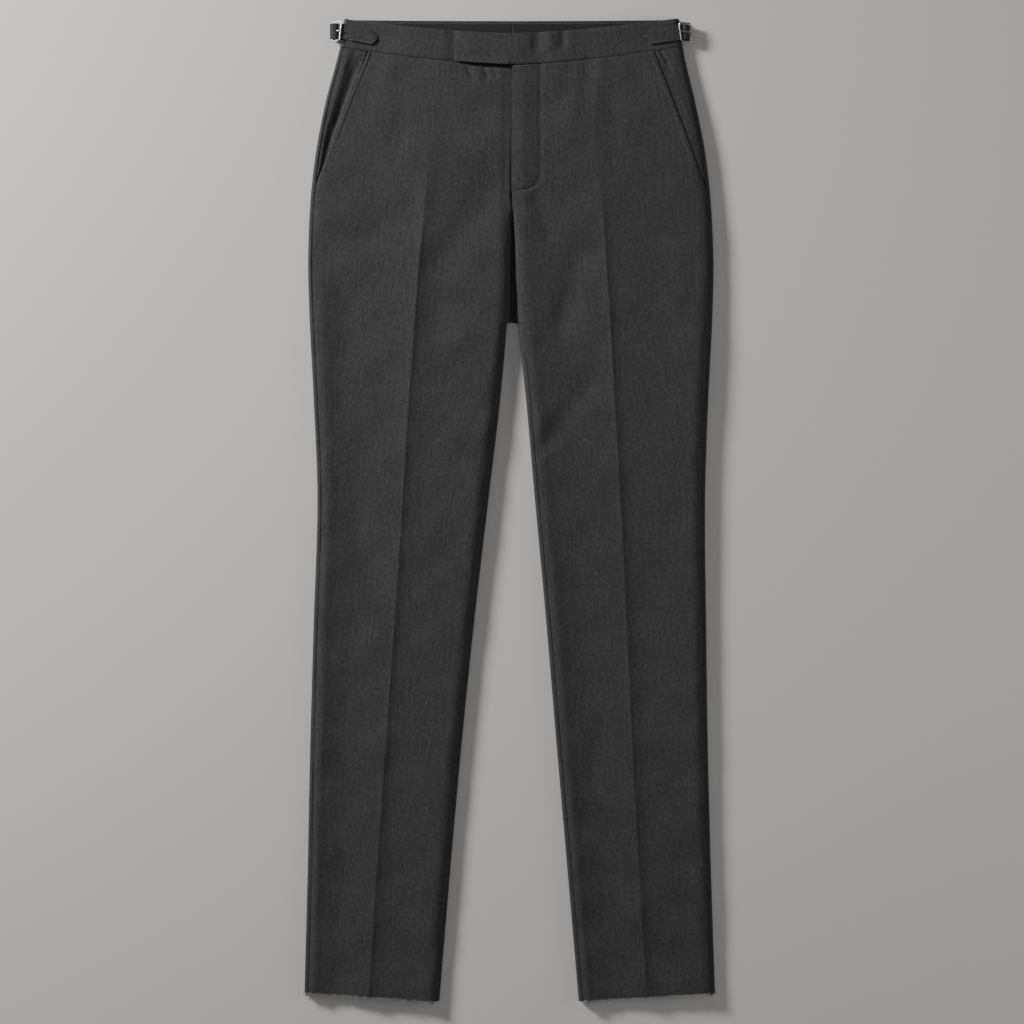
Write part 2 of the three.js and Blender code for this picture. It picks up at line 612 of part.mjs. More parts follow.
// A closed ring of round wire through four corners, with each corner rounded.
function buckle(name, material, adjuster) {
  const { half, y, outerBar, outerBarZ, innerBar, innerBarZ } = adjuster;
  const high = y + BUCKLE_LENGTH / 2;
  const low = y - BUCKLE_LENGTH / 2;
  const point = (reach, across, z) => new THREE.Vector3(half.side * reach, across, z);
  const corners = [
    point(outerBar, low, outerBarZ), point(innerBar, low, innerBarZ),
    point(innerBar, high, innerBarZ), point(outerBar, high, outerBarZ),
  ];
  const path = [];
  corners.forEach((corner, index) => {
    const before = corners[(index + 3) % 4].clone().sub(corner).setLength(BUCKLE_CORNER);
    const after = corners[(index + 1) % 4].clone().sub(corner).setLength(BUCKLE_CORNER);
    const cut = 0.3;
    path.push(corner.clone().add(before));
    path.push(corner.clone().addScaledVector(before, cut).addScaledVector(after, cut));
    path.push(corner.clone().add(after));
  });
  const normal = corners[1].clone().sub(corners[0]).cross(corners[2].clone().sub(corners[1]));
  normal.normalize();
  const sides = 8;
  const positions = [];
  path.forEach((spot, index) => {
    const next = path[(index + 1) % path.length];
    const previous = path[(index + path.length - 1) % path.length];
    const outward = next.clone().sub(previous).cross(normal).normalize();
    for (let k = 0; k < sides; k += 1) {
      const turn = 2 * Math.PI * k / sides;
      const vertex = spot.clone().addScaledVector(outward, WIRE * Math.cos(turn));
      positions.push(...vertex.addScaledVector(normal, WIRE * Math.sin(turn)).toArray());
    }
  });
  const faces = [];
  for (let i = 0; i < path.length; i += 1) {
    for (let k = 0; k < sides; k += 1) {
      const a = i * sides + k;
      const b = i * sides + (k + 1) % sides;
      const c = ((i + 1) % path.length) * sides + (k + 1) % sides;
      const d = ((i + 1) % path.length) * sides + k;
      faces.push(a, b, c, a, c, d);
    }
  }
  return meshFrom(name, material, positions, faces);
}

// The prong lies on the strap and on the inner bar.
function prong(name, material, adjuster) {
  const { half, y, high, innerBar, innerBarZ, prongStart, outerBarZ, outerBar } = adjuster;
  const clear = WIRE + LAYER_GAP + PRONG + 0.1;
  const startZ = prongStart > outerBar ? outerBarZ + clear : high + STRAP_THICK / 2 + 1.8;
  const start = new THREE.Vector3(half.side * prongStart, y, startZ);
  const end = new THREE.Vector3(half.side * (innerBar - 1.4), y, innerBarZ + clear);
  const rod = new THREE.CylinderGeometry(PRONG * 0.7, PRONG, start.distanceTo(end), 8);
  const mesh = new THREE.Mesh(rod, material);
  mesh.position.copy(start).lerp(end, 0.5);
  const up = new THREE.Vector3(0, 1, 0);
  mesh.quaternion.setFromUnitVectors(up, end.clone().sub(start).normalize());
  mesh.name = name;
  return mesh;
}

// ---- Assembly -------------------------------------------------------------------------------

const flannel = new THREE.MeshStandardMaterial({ color: 0x4b4a4b, roughness: 0.95, metalness: 0 });
const flannelInside = new THREE.MeshStandardMaterial({ color: 0x3e3d3e, roughness: 0.95 });
const zipTape = new THREE.MeshStandardMaterial({ color: 0x2f2e30, roughness: 0.8 });
const nickel = new THREE.MeshStandardMaterial({ color: 0xb4b1ab, roughness: 0.3, metalness: 1 });

const trousers = new THREE.Group();
for (const [word, half] of [['right', RIGHT], ['left', LEFT]]) {
  const adjuster = ADJUSTERS[word];
  trousers.add(
    panel(`front_${word}`, flannel, half, frontLine, FRONT_PLACES, 0),
    panel(`back_${word}`, flannel, half, backLine, BACK_PLACES, BACK_WAIST_LIFT),
    pocketFacing(`pocket_facing_${word}`, flannel, half),
    backBand(`waistband_back_${word}`, flannel, half),
    bandFacing(`waistband_facing_${word}`, flannelInside, half),
    adjusterStrap(`adjuster_strap_${word}`, flannel, adjuster),
    buckle(`adjuster_buckle_${word}`, nickel, adjuster),
    prong(`buckle_prong_${word}`, nickel, adjuster),
  );
}
trousers.add(
  frontBandRight(flannel), frontBandLeft(flannel), flyZip(zipTape), flyShield(flannelInside),
);

export default trousers;
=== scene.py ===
"""Flat-front dress trousers in charcoal wool flannel, lying on their back with the front up.

The cloth panels are thin shells worked out from the garment's own sizes, in millimetres.
Left and right are the wearer's, and the wearer's right side lies towards -X.
"""
import json
import math

import bpy
import numpy as np
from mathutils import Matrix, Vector

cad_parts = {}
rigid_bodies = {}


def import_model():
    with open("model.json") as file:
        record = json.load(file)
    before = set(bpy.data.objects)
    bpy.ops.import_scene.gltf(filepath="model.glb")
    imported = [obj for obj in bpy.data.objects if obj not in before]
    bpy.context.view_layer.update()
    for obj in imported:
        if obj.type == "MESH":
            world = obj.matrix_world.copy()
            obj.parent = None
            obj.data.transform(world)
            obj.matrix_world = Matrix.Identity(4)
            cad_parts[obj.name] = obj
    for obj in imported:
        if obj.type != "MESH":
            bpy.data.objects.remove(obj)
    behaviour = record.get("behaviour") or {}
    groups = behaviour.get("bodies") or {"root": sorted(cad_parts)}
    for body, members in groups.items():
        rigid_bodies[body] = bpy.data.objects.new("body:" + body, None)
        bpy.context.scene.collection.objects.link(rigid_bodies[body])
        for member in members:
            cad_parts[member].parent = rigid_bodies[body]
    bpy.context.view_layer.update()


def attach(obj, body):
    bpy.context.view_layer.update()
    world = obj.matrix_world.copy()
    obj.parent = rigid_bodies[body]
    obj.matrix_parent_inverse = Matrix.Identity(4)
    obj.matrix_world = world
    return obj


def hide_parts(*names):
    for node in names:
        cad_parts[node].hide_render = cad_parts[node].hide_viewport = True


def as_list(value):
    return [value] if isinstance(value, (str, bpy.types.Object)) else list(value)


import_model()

# ---- Sizes, in millimetres ------------------------------------------------------------------

MM = 0.001
CLOTH = 1.1                 # one layer of flannel
BAND = 1.9                  # waistband: cloth on canvas with a turned edge
BAND_ROUND = 0.5
SEAM_GAP = 0.3
LAYER_GAP = 0.4
HEM_Y = -590.0
HEM_RISE = 11.0
WAIST_Y = 535.0
WAIST_RISE = 21.0
BACK_WAIST_LIFT = 15.0
HALF_WAIST = 200.0
CENTRE_X = 2.4
CROTCH_Y = 226.0
CROTCH_Z = 2.9
SIDE_ROLL = 4.0
SEAM_INSET = 5.2
EDGE_ZONE = 12.0
EDGE_EASE = 14.0
EDGE_ROUND = 20.0
LEG_ROLL = 4.2
CROTCH_ROLL = 5.5
ROLL_CHANGE = (60.0, 220.0)
INSEAM_EMERGES = 165.0
INSEAM_TURN = 1.13
TURN_GAP = 0.03
MOUTH_LIFT = 1.0
MOUTH_SPREAD = 25.0
FACING = 1.0
FACING_UNDERLAP = 12.0
FACING_LOW = 396.0
FLY_TOP = 528.0
FLY_BOTTOM = 392.0
FLY_LAP = 6.3
FLY_LIFT = 1.2
FLY_WIDTH = 33.6
FLY_STITCH = [
    (36.3, 538), (36.6, 470), (36.4, 405), (34.6, 396), (29.5, 389.5), (21, 385.5), (3.2, 382.5),
]
FLY_CLOSED, FLY_LIFTED, FLY_LAPPED = 362.0, 380.0, 383.0
ZIP_WIDTH = 13.4
SHIELD_DEPTH = 3.0
SHIELD_REACH = 12.0
BAND_TOP_Y = 572.7
BAND_TOP_RISE = 18.0
BACK_TOP_Y = 589.4
BACK_TOP_RISE = 1.3
BAND_PROUD = 0.5
TAB_END_X = -65.6
TAB_PROUD = BAND + LAYER_GAP + 0.3
TAB_UNDER, TAB_OVER = 15.0, 40.0
TAB_HOLLOW = 1.9
UNDER_TAB_DEPTH, UNDER_TAB_REACH = 3.2, 4.2
FACING_MARGIN = 4.0
GROOVE_DEPTH, GROOVE_WIDTH = 0.55, 1.3
CREST = 9.0                 # how soft the top of the crease is near the waist
CREST_FADES = (330, 470)    # heights between which it turns soft
CREASE_FALL = ((0.3, 9.0), (0.7, 38.0))     # two parts of the slow side: share and reach
CREASE_FADES = (520, 340)   # heights between which a plain arch turns into that slow side
RIDGE_REACH = (11.0, 22.0)
SAG_SLOPE = 0.026
RAISED_EDGE = 0.55
# Across a panel, in shares of its width from the crease: a hollow, then a swell.
HOLLOW_DEPTH, HOLLOW_START, HOLLOW_LOWEST, HOLLOW_END = 0.55, 0.05, 0.5, 0.78
SWELL_HEIGHT, SWELL_PLACE, SWELL_WIDTH = 0.62, 0.87, 0.09
MOUTH_OPENS = 20.0
WELT_HEIGHT, WELT_OFFSET, WELT_WIDTH = 0.3, 2.4, 2.0
MOUTH_STITCH_DEPTH, MOUTH_STITCH_WIDTH = 0.6, 0.9
INSEAM_ARC = 7.5            # millimetres round the inner fold to a quarter turn


def table(columns, rows):
    """A short table as named columns of numbers."""
    values = np.array(rows, dtype=float)
    return {name: values[:, k] for k, name in enumerate(columns)}


OUTLINE = ("y", "fold", "crease", "inner")
RIGHT = {
    "side": -1,
    "mouth_top": (-170.0, 550.0),
    "mouth_end": (-225.0, 411.0),
    "mouth_stitch": 4.8,
    "facing_sag": 4.6,
    "rows": table(OUTLINE, [
        (-590, -247.3, -170.0, -84.8),
        (-443, -243.4, -160.2, -72.5),
        (-287, -240.2, -149.5, -58.5),
        (-131, -235.8, -138.0, -42.5),
        (13, -231.4, -128.5, -25.7),
        (133, -235.9, -121.3, -11.6),
        (229, -240.8, -114.0, -3.3),
        (301, -242.6, -108.8, 0.0),
        (373, -239.8, -101.2, 1.0),
        (433, -232.9, -95.5, 1.5),
        (493, -221.2, -92.7, 1.5),
        (541, -208.3, -92.0, 1.5),
        (573, -201.0, -92.0, 1.5),
        (591, -199.0, -92.0, 1.5),
    ]),
}
LEFT = {
    "side": 1,
    "mouth_top": (174.0, 548.0),
    "mouth_end": (233.0, 393.0),
    "mouth_stitch": 6.5,
    "facing_sag": 0.6,
    "rows": table(OUTLINE, [
        (-590, 247.3, 165.0, 83.0),
        (-443, 242.4, 155.8, 70.3),
        (-287, 238.4, 147.2, 56.7),
        (-131, 236.2, 140.2, 43.5),
        (13, 235.0, 132.8, 30.2),
        (133, 238.8, 125.8, 19.6),
        (229, 243.5, 120.4, 10.0),
        (301, 245.0, 115.5, 4.7),
        (373, 241.6, 110.9, 3.9),
        (433, 234.6, 105.7, 3.3),
        (493, 222.6, 100.4, 3.3),
        (541, 211.2, 97.0, 3.3),
        (573, 205.5, 96.0, 3.3),
        (591, 203.7, 96.0, 3.3),
    ]),
}
HALVES = (("right", RIGHT), ("left", LEFT))
LOFT = table(("y", "fold", "crease", "inner", "valley", "sag", "ridge"), [
    (-590, 7.5, 12.7, 7.5, 0, 3.0, 4.6),
    (-290, 7.5, 13.4, 7.5, 0, 3.4, 4.9),
    (0, 8.0, 14.8, 8.5, 0, 3.1, 4.9),
    (200, 9.0, 16.2, 9.5, 1, 2.5, 4.8),
    (300, 9.5, 16.5, 10.5, 1, 1.6, 4.3),
    (335, 9.5, 16.0, 11.5, 0.85, 1.2, 3.5),
    (376, 9.5, 15.5, 12.0, 0, 0.9, 2.6),
    (480, 9.5, 14.0, 12.0, 0, 0.5, 1.3),
    (540, 9.5, 12.5, 12.0, 0, 0, 0.3),
    (591, 9.5, 11.5, 11.5, 0, 0, 0),
])

# Soft folds of the top layer, each from one point to another. A minus depth is a trough.
FOLDS = [
    (40, 76, 100, 160, 15, -1.8),
    (64, 232, 82, 300, 16, -2.6),
    (46, 330, 34, 372, 9, -1.6),
    (-84, 300, -20, 392, 20, -2.4),
    (-172, 322, -117, 366, 18, -1.7),
    (-186, 470, -160, 540, 16, -0.9),
    (-136, 420, -128, 520, 12, -0.9),
    (126, 420, 118, 530, 13, -1.0),
    (170, 300, 190, 200, 20, -1.2),
    (-190, 250, -206, 130, 20, -1.2),
    (-200, 20, -160, -90, 16, -1.2),
    (200, -10, 165, -120, 16, -1.2),
]
# Small folds that only the finished cloth has: puckers under the tab, drag lines, dimples.
FINE_FOLDS = [
    (-50, 531, -46, 520, 2.6, -1.2),
    (-40, 531, -36, 517, 3.0, 0.7),
    (-31, 531, -26, 521, 2.6, -1.2),
    (-19, 531, -17, 521, 2.4, -0.8),
    (33, 574, 32, 557, 6.0, -1.6),
    (64, 575, 64, 558, 5.5, -2.0),
    (48, 573, 48, 558, 6.0, 1.1),
    (72, 536, 66, 500, 7.0, -0.7),
    (95, 540, 88, 470, 9.0, -0.8),
    (112, 535, 106, 480, 8.0, 0.6),
    (40, 76, 92, 150, 12.0, -0.75),
    (62, 224, 74, 292, 10.0, -0.4),
    (36, 60, 70, 82, 7.0, 0.8),
    (-30, 120, -62, 60, 12.0, -0.8),
    (-226, 330, -200, 240, 14.0, -0.8),
    (228, 300, 206, 220, 14.0, -0.8),
    (-205, -260, -190, -360, 14.0, -0.5),
    (120, -230, 96, -330, 13.0, -0.6),
    (-110, -180, -92, -290, 13.0, -0.6),
    (215, -420, 205, -520, 13.0, -0.5),
    (-128, -470, -112, -560, 12.0, -0.5),
]
# Gentle waves all over the front: seed, count, shortest, longest and height.
FRONT_WAVES = (17, 10, 50.0, 140.0, 0.17)


# ---- Form of the garment --------------------------------------------------------------------
# u runs across one half towards the centre: u = -side * x, so the side fold has the lowest u.

def mix(low, high, share):
    return low + (high - low) * share


def smooth(low, high, value):
    share = np.clip((value - low) / (high - low), 0.0, 1.0)
    return share * share * (3.0 - 2.0 * share)


def bump(distance, width):
    """A soft bell over a distance."""
    return np.exp(-(distance / width) ** 2)


def along(rows, column, y):
    """One column of a table at height y, on a smooth curve through its rows."""
    heights = rows["y"]
    values = rows[column]
    slopes = np.gradient(values, heights)
    slopes[1:-1] = (values[2:] - values[:-2]) / (heights[2:] - heights[:-2])
    place = np.clip(y, heights[0], heights[-1])
    low = np.clip(np.searchsorted(heights, place) - 1, 0, len(heights) - 2)
    span = heights[low + 1] - heights[low]
    t = (place - heights[low]) / span
    level = mix(values[low], values[low + 1], t * t * (3 - 2 * t))
    start = slopes[low] * span * t * (1 - t) ** 2
    end = slopes[low + 1] * span * t * t * (t - 1)
    return level + start + end


def from_segment(x1, y1, x2, y2, x, y):
    """Distance to the straight line between two points."""
    dx, dy = x2 - x1, y2 - y1
    share = np.clip(((x - x1) * dx + (y - y1) * dy) / (dx * dx + dy * dy), 0, 1)
    return np.hypot(x - x1 - share * dx, y - y1 - share * dy)


def relief(folds, x, y):
    """Troughs and ridges that run between two points each."""
    total = np.zeros_like(x)
    for *ends, width, depth in folds:
        total += depth * bump(from_segment(*ends, x, y), width)
    return total


def path_distance(path, x, y):
    """Distance to a line through the points of a path."""
    nearest = np.full_like(x, 1e6)
    for start, end in zip(path, path[1:]):
        nearest = np.minimum(nearest, from_segment(*start, *end, x, y))
    return nearest


def waves(seed, count, shortest, longest, height):
    """Directions and lengths of gentle waves, the same on every run."""
    random = np.random.default_rng(seed)
    turns = random.uniform(0, math.pi, count)
    lengths = random.uniform(shortest, longest, count)
    phases = random.uniform(0, 2 * math.pi, count)
    return [
        (math.cos(turn) / length, math.sin(turn) / length, phase, height)
        for turn, length, phase in zip(turns, lengths, phases)
    ]


def rolling(wave_set, x, y):
    total = np.zeros_like(x)
    for across, up, phase, height in wave_set:
        total += height * np.sin(2 * math.pi * (across * x + up * y) + phase)
    return total


FRONT_ROLL = waves(*FRONT_WAVES)


def outline_u(edge):
    """The u of one edge of the outline, as a function of the half and the height."""
    return lambda half, y: -half["side"] * along(half["rows"], edge, y)


fold_u, crease_u, inner_u = outline_u("fold"), outline_u("crease"), outline_u("inner")


def centre_u(half):
    return -half["side"] * CENTRE_X


def mouth_u(half, y):
    (top_x, top_y), (end_x, end_y) = half["mouth_top"], half["mouth_end"]
    return -half["side"] * mix(end_x, top_x, (y - end_y) / (top_y - end_y))


def seam_u(half, y):
    return fold_u(half, y) + SEAM_INSET


def edge_top(half, edge, y):
    """Height of a leg's side fold or inner fold. The edges towards -X stand a little higher."""
    raised = (edge == "fold") == (half is RIGHT)
    return along(LOFT, edge, y) + (RAISED_EDGE * along(LOFT, "sag", y) if raised else 0.0)


def base_height(half, u, y):
    """Top of the cloth before anything laps over anything. The pressed crease falls away slowly
    towards -X and steeply towards +X, and each panel sags between its crease and its edge."""
    crease = crease_u(half, y)
    outside = u < crease
    edge = np.where(outside, fold_u(half, y), inner_u(half, y))
    low = np.where(outside, edge_top(half, "fold", y), edge_top(half, "inner", y))
    away = np.abs(u - crease)
    share = np.clip(away / np.abs(edge - crease), 0, 1)
    rise = along(LOFT, "crease", y) - low
    ridge = np.minimum(along(LOFT, "ridge", y), rise)
    sag = along(LOFT, "sag", y)
    soft_crest = smooth(*CREST_FADES, y)
    away = np.hypot(away, CREST * soft_crest) - CREST * soft_crest
    west = rise * sum(part * np.exp(-away / reach) for part, reach in CREASE_FALL)
    west = mix(rise * (1 - share * share), west, smooth(*CREASE_FADES, y))
    rising = 1 - smooth(HOLLOW_LOWEST, HOLLOW_END, share)
    west = west - HOLLOW_DEPTH * sag * smooth(HOLLOW_START, HOLLOW_LOWEST, share) * rising
    west = west + SWELL_HEIGHT * sag * bump(share - SWELL_PLACE, SWELL_WIDTH)
    fallen = 1 - np.exp(-away / mix(*RIDGE_REACH, soft_crest))
    east = rise - ridge * fallen + SAG_SLOPE * sag * away
    x = -half["side"] * u
    soft = relief(FOLDS, x, y) + relief(FINE_FOLDS, x, y) + rolling(FRONT_ROLL, x, y)
    inset = smooth(0, EDGE_EASE, np.abs(edge - u))
    reach = EDGE_ROUND - 6.0 * np.where(outside, 0.0, smooth(120, 240, y))
    rounded = 1 - (1 - np.clip(np.abs(edge - u) / reach, 0, 1)) ** 2.2
    leg = np.where(outside == (half is RIGHT), west * inset, east * rounded)
    return low + leg + soft * inset


def fly_share(y):
    return smooth(FLY_CLOSED, FLY_LIFTED, y)


def front_height(half, u, y):
    """Top of the front panel, lifted at the pocket mouth and at the fly."""
    mouth = mouth_u(half, y)
    opening = smooth(0, MOUTH_OPENS, mouth - seam_u(half, y))
    pocket = MOUTH_LIFT * opening * np.exp(-np.maximum(u - mouth, 0) / MOUTH_SPREAD)
    stitched = u - mouth - half["mouth_stitch"]
    welt = WELT_HEIGHT * bump(stitched + WELT_OFFSET, WELT_WIDTH)
    pocket = pocket + opening * (
        welt - MOUTH_STITCH_DEPTH * bump(stitched, MOUTH_STITCH_WIDTH)
    )
    to_centre = centre_u(half) - u
    if half is LEFT:
        near = 1 - smooth(10, FLY_WIDTH, to_centre)
        stitched = path_distance(FLY_STITCH, -half["side"] * u, y)
        pressed = bump(stitched, 1.4) + 0.4 * bump(stitched, 5.0)
        fly = (FLY_LIFT + 0.3) * near - 0.35 * bump(to_centre, 1.0) - 0.8 * pressed
    else:
        near = 1 - smooth(0, 20, to_centre)
        fly = (FLY_LIFT - CLOTH - LAYER_GAP - 0.5) * near
    return base_height(half, u, y) + pocket + fly * fly_share(y)


def inner_fold(half, turn, y):
    """Inner fold of a leg: turn -1 is its lowest point, 0 the outermost, 1 the top and 2 where
    the edge zone ends."""
    u = inner_u(half, y)
    top = edge_top(half, "inner", y)
    near = smooth(*ROLL_CHANGE, y)
    middle = mix(top / 2, CROTCH_Z, near)
    roll = mix(LEG_ROLL, CROTCH_ROLL, near)
    place = mix(u - roll, u - EDGE_ZONE, turn - 1)
    angle = np.minimum(turn, 1.0) * math.pi / 2
    reach = np.where(turn > 0, top - middle, middle)
    round_u = u - roll + roll * np.cos(angle)
    round_z = middle + reach * np.sin(angle)
    on_top = turn > 1
    height = np.where(on_top, base_height(half, place, y), round_z)
    return np.where(on_top, place, round_u), height


def inseam_turn(y):
    return mix(INSEAM_TURN, 0.0, smooth(INSEAM_EMERGES, CROTCH_Y - 3, y))


def valley(half, share, y):
    """Above the crotch the front dives to the centre front seam."""
    u = inner_u(half, y)
    start = u - EDGE_ZONE
    under = np.where(y > FLY_LAPPED, FLY_LAP, 0.0) if half is RIGHT else 0.0
    end = centre_u(half) - SEAM_GAP / 2 + under
    high = front_height(half, start, y)
    flat = front_height(half, end + 0 * y, y)
    low = mix(flat, CROTCH_Z, np.clip(along(LOFT, "valley", y), 0, 1))
    left = 1 - share
    weights = (left ** 3, 3 * left * left * share, 3 * left * share * share, share ** 3)
    if half is RIGHT:
        across = (start, u - 1.5, u + 0.8, end)
        up = (high, high - 1.6, mix(high, low, 0.35), low)
    else:
        across = (start, u + 0.5, u - 1.5, end)
        up = (high, mix(high, flat, 0.6), low, low)
    place = sum(weight * value for weight, value in zip(weights, across))
    level = sum(weight * value for weight, value in zip(weights, up))
    if half is RIGHT:
        beside_fly = mix(0.5, 1.7, smooth(470, 385, y)) * fly_share(y)
        level = level - beside_fly * bump(place - centre_u(half) + 0.4, 1.5)
    return place, level


def groove(distance):
    """How far a panel's edge is drawn down into its seam."""
    return GROOVE_DEPTH * bump(np.maximum(distance, 0), GROOVE_WIDTH)


def inseam_groove(turned, y):
    """The groove of the inseam at a turn away from it, where the inseam lies on top."""
    return groove(turned * INSEAM_ARC) * smooth(1.0, 1.1, inseam_turn(y))


def front_line(half, place, y):
    """Across the front: 0 to 1 side to crease, 1 to 2 crease to edge zone, 2 to 3 inner edge."""
    crease = crease_u(half, y)
    seam = seam_u(half, y) + SEAM_GAP
    start = np.maximum(seam, mouth_u(half, y))
    u = np.where(place <= 1, mix(start, crease, place), 0.0)
    towards_edge = mix(crease, inner_u(half, y) - EDGE_ZONE, place - 1)
    u = np.where((place > 1) & (place <= 2), towards_edge, u)
    z = front_height(half, u, y)
    closed = 1 - smooth(2, 12, mouth_u(half, y) - seam)
    z = z - np.where(place <= 1, groove(u - start) * closed, 0.0)
    z = z - np.where(place <= 1, 0.3 * bump(u - start, 0.8) * (1 - closed), 0.0)
    dive = np.clip(place - 2, 0, 1)
    valley_u, valley_z = valley(half, dive, y)
    turn = mix(2.0, inseam_turn(y) + TURN_GAP, dive)
    fold_place, fold_z = inner_fold(half, turn, y)
    fold_z = fold_z - inseam_groove(turn - inseam_turn(y), y)
    last = place > 2
    above = y > CROTCH_Y
    u = np.where(last, np.where(above, valley_u, fold_place), u)
    return u, np.where(last, np.where(above, valley_z, fold_z), z)


def back_line(half, place, y):
    """Across the back: 0 to 1 inner edge, 1 to 2 underside, 2 to 3 side fold, 3 to 4 wrap."""
    side = fold_u(half, y) + SIDE_ROLL
    inside = inner_u(half, y) - EDGE_ZONE
    top = edge_top(half, "fold", y)
    turn = mix(inseam_turn(y) - TURN_GAP, -1.0, np.clip(place / 0.8, 0, 1))
    round_u, round_z = inner_fold(half, turn, y)
    round_z = round_z - inseam_groove(inseam_turn(y) - turn, y)
    lowest = inner_fold(half, -1.0 + 0 * y, y)[0]
    round_u = np.where(place > 0.8, mix(lowest, inside, (place - 0.8) / 0.2), round_u)
    round_z = np.where(place > 0.8, 0.0, round_z)
    above = y > CROTCH_Y
    u = np.where(above, mix(centre_u(half) - SEAM_GAP / 2, inside, place), round_u)
    z = np.where(above, 0.0, round_z)
    under = (place > 1) & (place <= 2)
    u = np.where(under, mix(inside, side, place - 1), u)
    z = np.where(under, 0.0, z)
    angle = (place - 2.5) * math.pi
    rolled = (place > 2) & (place <= 3)
    u = np.where(rolled, side - SIDE_ROLL * np.cos(angle), u)
    z = np.where(rolled, top / 2 * (1 + np.sin(angle)), z)
    wrap = place > 3
    u = np.where(wrap, mix(side, seam_u(half, y), place - 3), u)
    wrap_z = base_height(half, u, y) - groove(seam_u(half, y) - u)
    return u, np.where(wrap, wrap_z, z)


def row_y(level, x, share, centre_lift):
    """Rows run level in the middle and follow the hem and the waist seam at the ends."""
    height = (level - HEM_Y) / (WAIST_Y - HEM_Y)
    out = np.abs(x) / HALF_WAIST
    waist = height ** 4 * WAIST_RISE * out ** 1.5
    lift = centre_lift * height ** 16 * np.clip(1 - out * out, 0, 1)
    return level + (1 - height) ** 4 * HEM_RISE * (1 - share) + waist + lift


def settled_y(half, line, place, level, centre_lift):
    y = level
    for _ in range(4):
        u = line(half, place, y)[0]
        share = np.clip((u - fold_u(half, y)) / (inner_u(half, y) - fold_u(half, y)), 0, 1)
        y = row_y(level, -half["side"] * u, share, centre_lift)
    return y


# ---- Making meshes --------------------------------------------------------------------------

def deselect():
    if bpy.context.object and bpy.context.object.mode != "OBJECT":
        bpy.ops.object.mode_set(mode="OBJECT")
    bpy.ops.object.select_all(action="DESELECT")


def pick(piece):
    """Makes a piece the active one and the only one selected."""
    deselect()
    piece.select_set(True)
    bpy.context.view_layer.objects.active = piece


def edit_faces(piece, operator, **settings):
    """Runs an edit-mode operator on all faces of a piece."""
    pick(piece)
    bpy.ops.object.mode_set(mode="EDIT")
    bpy.ops.mesh.select_all(action="SELECT")
    operator(**settings)
    bpy.ops.object.mode_set(mode="OBJECT")


def remake(piece, points, faces):
    """Gives a piece a new mesh from points in millimetres and their faces."""
    old = piece.data
    piece.data = bpy.data.meshes.new(piece.name)
    piece.data.from_pydata((np.asarray(points) * MM).tolist(), [], faces)
    bpy.data.meshes.remove(old)


def cloth_grid(name, shape, places, levels):
    """A flat grid with its points moved to shape(place, level), and a map of the cut in metres."""
    deselect()
    bpy.ops.mesh.primitive_grid_add(
        x_subdivisions=len(places) - 1, y_subdivisions=len(levels) - 1, size=1.0
    )
    piece = bpy.context.object
    piece.name = name
    mesh = piece.data
    flat = np.empty(len(mesh.vertices) * 3)
    mesh.vertices.foreach_get("co", flat)
    flat = flat.reshape(-1, 3)
    column = np.rint((flat[:, 0] + 0.5) * (len(places) - 1)).astype(int)
    row = np.rint((flat[:, 1] + 0.5) * (len(levels) - 1)).astype(int)
    points = np.stack(shape(np.asarray(places)[column], np.asarray(levels)[row]), axis=1) * MM
    mesh.vertices.foreach_set("co", points.ravel())
    write_cut_map(mesh, points, column, row, len(places))
    mesh.update()
    return piece


def write_cut_map(mesh, points, column, row, columns):
    """UVs in metres: across along the cloth from the middle column, and up along the piece."""
    order = np.lexsort((column, row))
    grid = points[order].reshape(-1, columns, 3)
    across = np.linalg.norm(np.diff(grid, axis=1), axis=2)
    across = np.concatenate([np.zeros((len(grid), 1)), np.cumsum(across, axis=1)], axis=1)
    across = across - across[:, columns // 2][:, None]
    cut = np.empty((len(points), 2))
    cut[order] = np.stack([across, grid[:, :, 1]], axis=2).reshape(-1, 2)
    corners = np.empty(len(mesh.loops), dtype=int)
    mesh.loops.foreach_get("vertex_index", corners)
    mesh.uv_layers[0].name = "cut"
    mesh.uv_layers[0].data.foreach_set("uv", cut[corners].ravel())


def face_towards(piece, up):
    """Turns a sheet so that its middle faces up, or down if up is false."""
    mesh = piece.data
    normals = np.empty(len(mesh.polygons) * 3)
    mesh.polygons.foreach_get("normal", normals)
    areas = np.empty(len(mesh.polygons))
    mesh.polygons.foreach_get("area", areas)
    if (normals.reshape(-1, 3)[:, 2] @ areas > 0) != up:
        edit_faces(piece, bpy.ops.mesh.flip_normals)


def apply_modifier(piece, kind, **settings):
    pick(piece)
    modifier = piece.modifiers.new(kind.title(), kind)
    for name, value in settings.items():
        setattr(modifier, name, value)
    bpy.ops.object.modifier_apply(modifier=modifier.name)


def cloth(name, shape, places, levels, up, thickness, rounding=0.0):
    """A cloth grid with its wall behind its face and, for a turned edge, a rounded rim."""
    piece = cloth_grid(name, shape, places, levels)
    face_towards(piece, up)
    apply_modifier(piece, "SOLIDIFY", thickness=thickness * MM, offset=-1.0)
    if rounding:
        apply_modifier(
            piece, "BEVEL", width=rounding * MM, segments=3,
            limit_method="ANGLE", angle_limit=math.radians(55),
        )
    smooth_shading(piece)
    return piece


def smooth_shading(piece, angle=50):
    pick(piece)
    bpy.ops.object.shade_smooth_by_angle(angle=math.radians(angle))


def dress(piece, material, slot, *nodes):
    """Gives a finished piece its material, puts it on the root body and hides the CAD nodes it
    stands for. The slot argument is not used.
    """
    piece.data.materials.clear()
    piece.data.materials.append(material)
    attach(piece, "root")
    if nodes:
        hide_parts(*nodes)
    return piece


def eased(start, end, count, ends=0.6):
    """Steps from start to end that are finer at both ends."""
    share = np.linspace(0, 1, count)
    even = 0.5 - 0.5 * np.cos(math.pi * share)
    return mix(start, end, mix(share, even, ends))


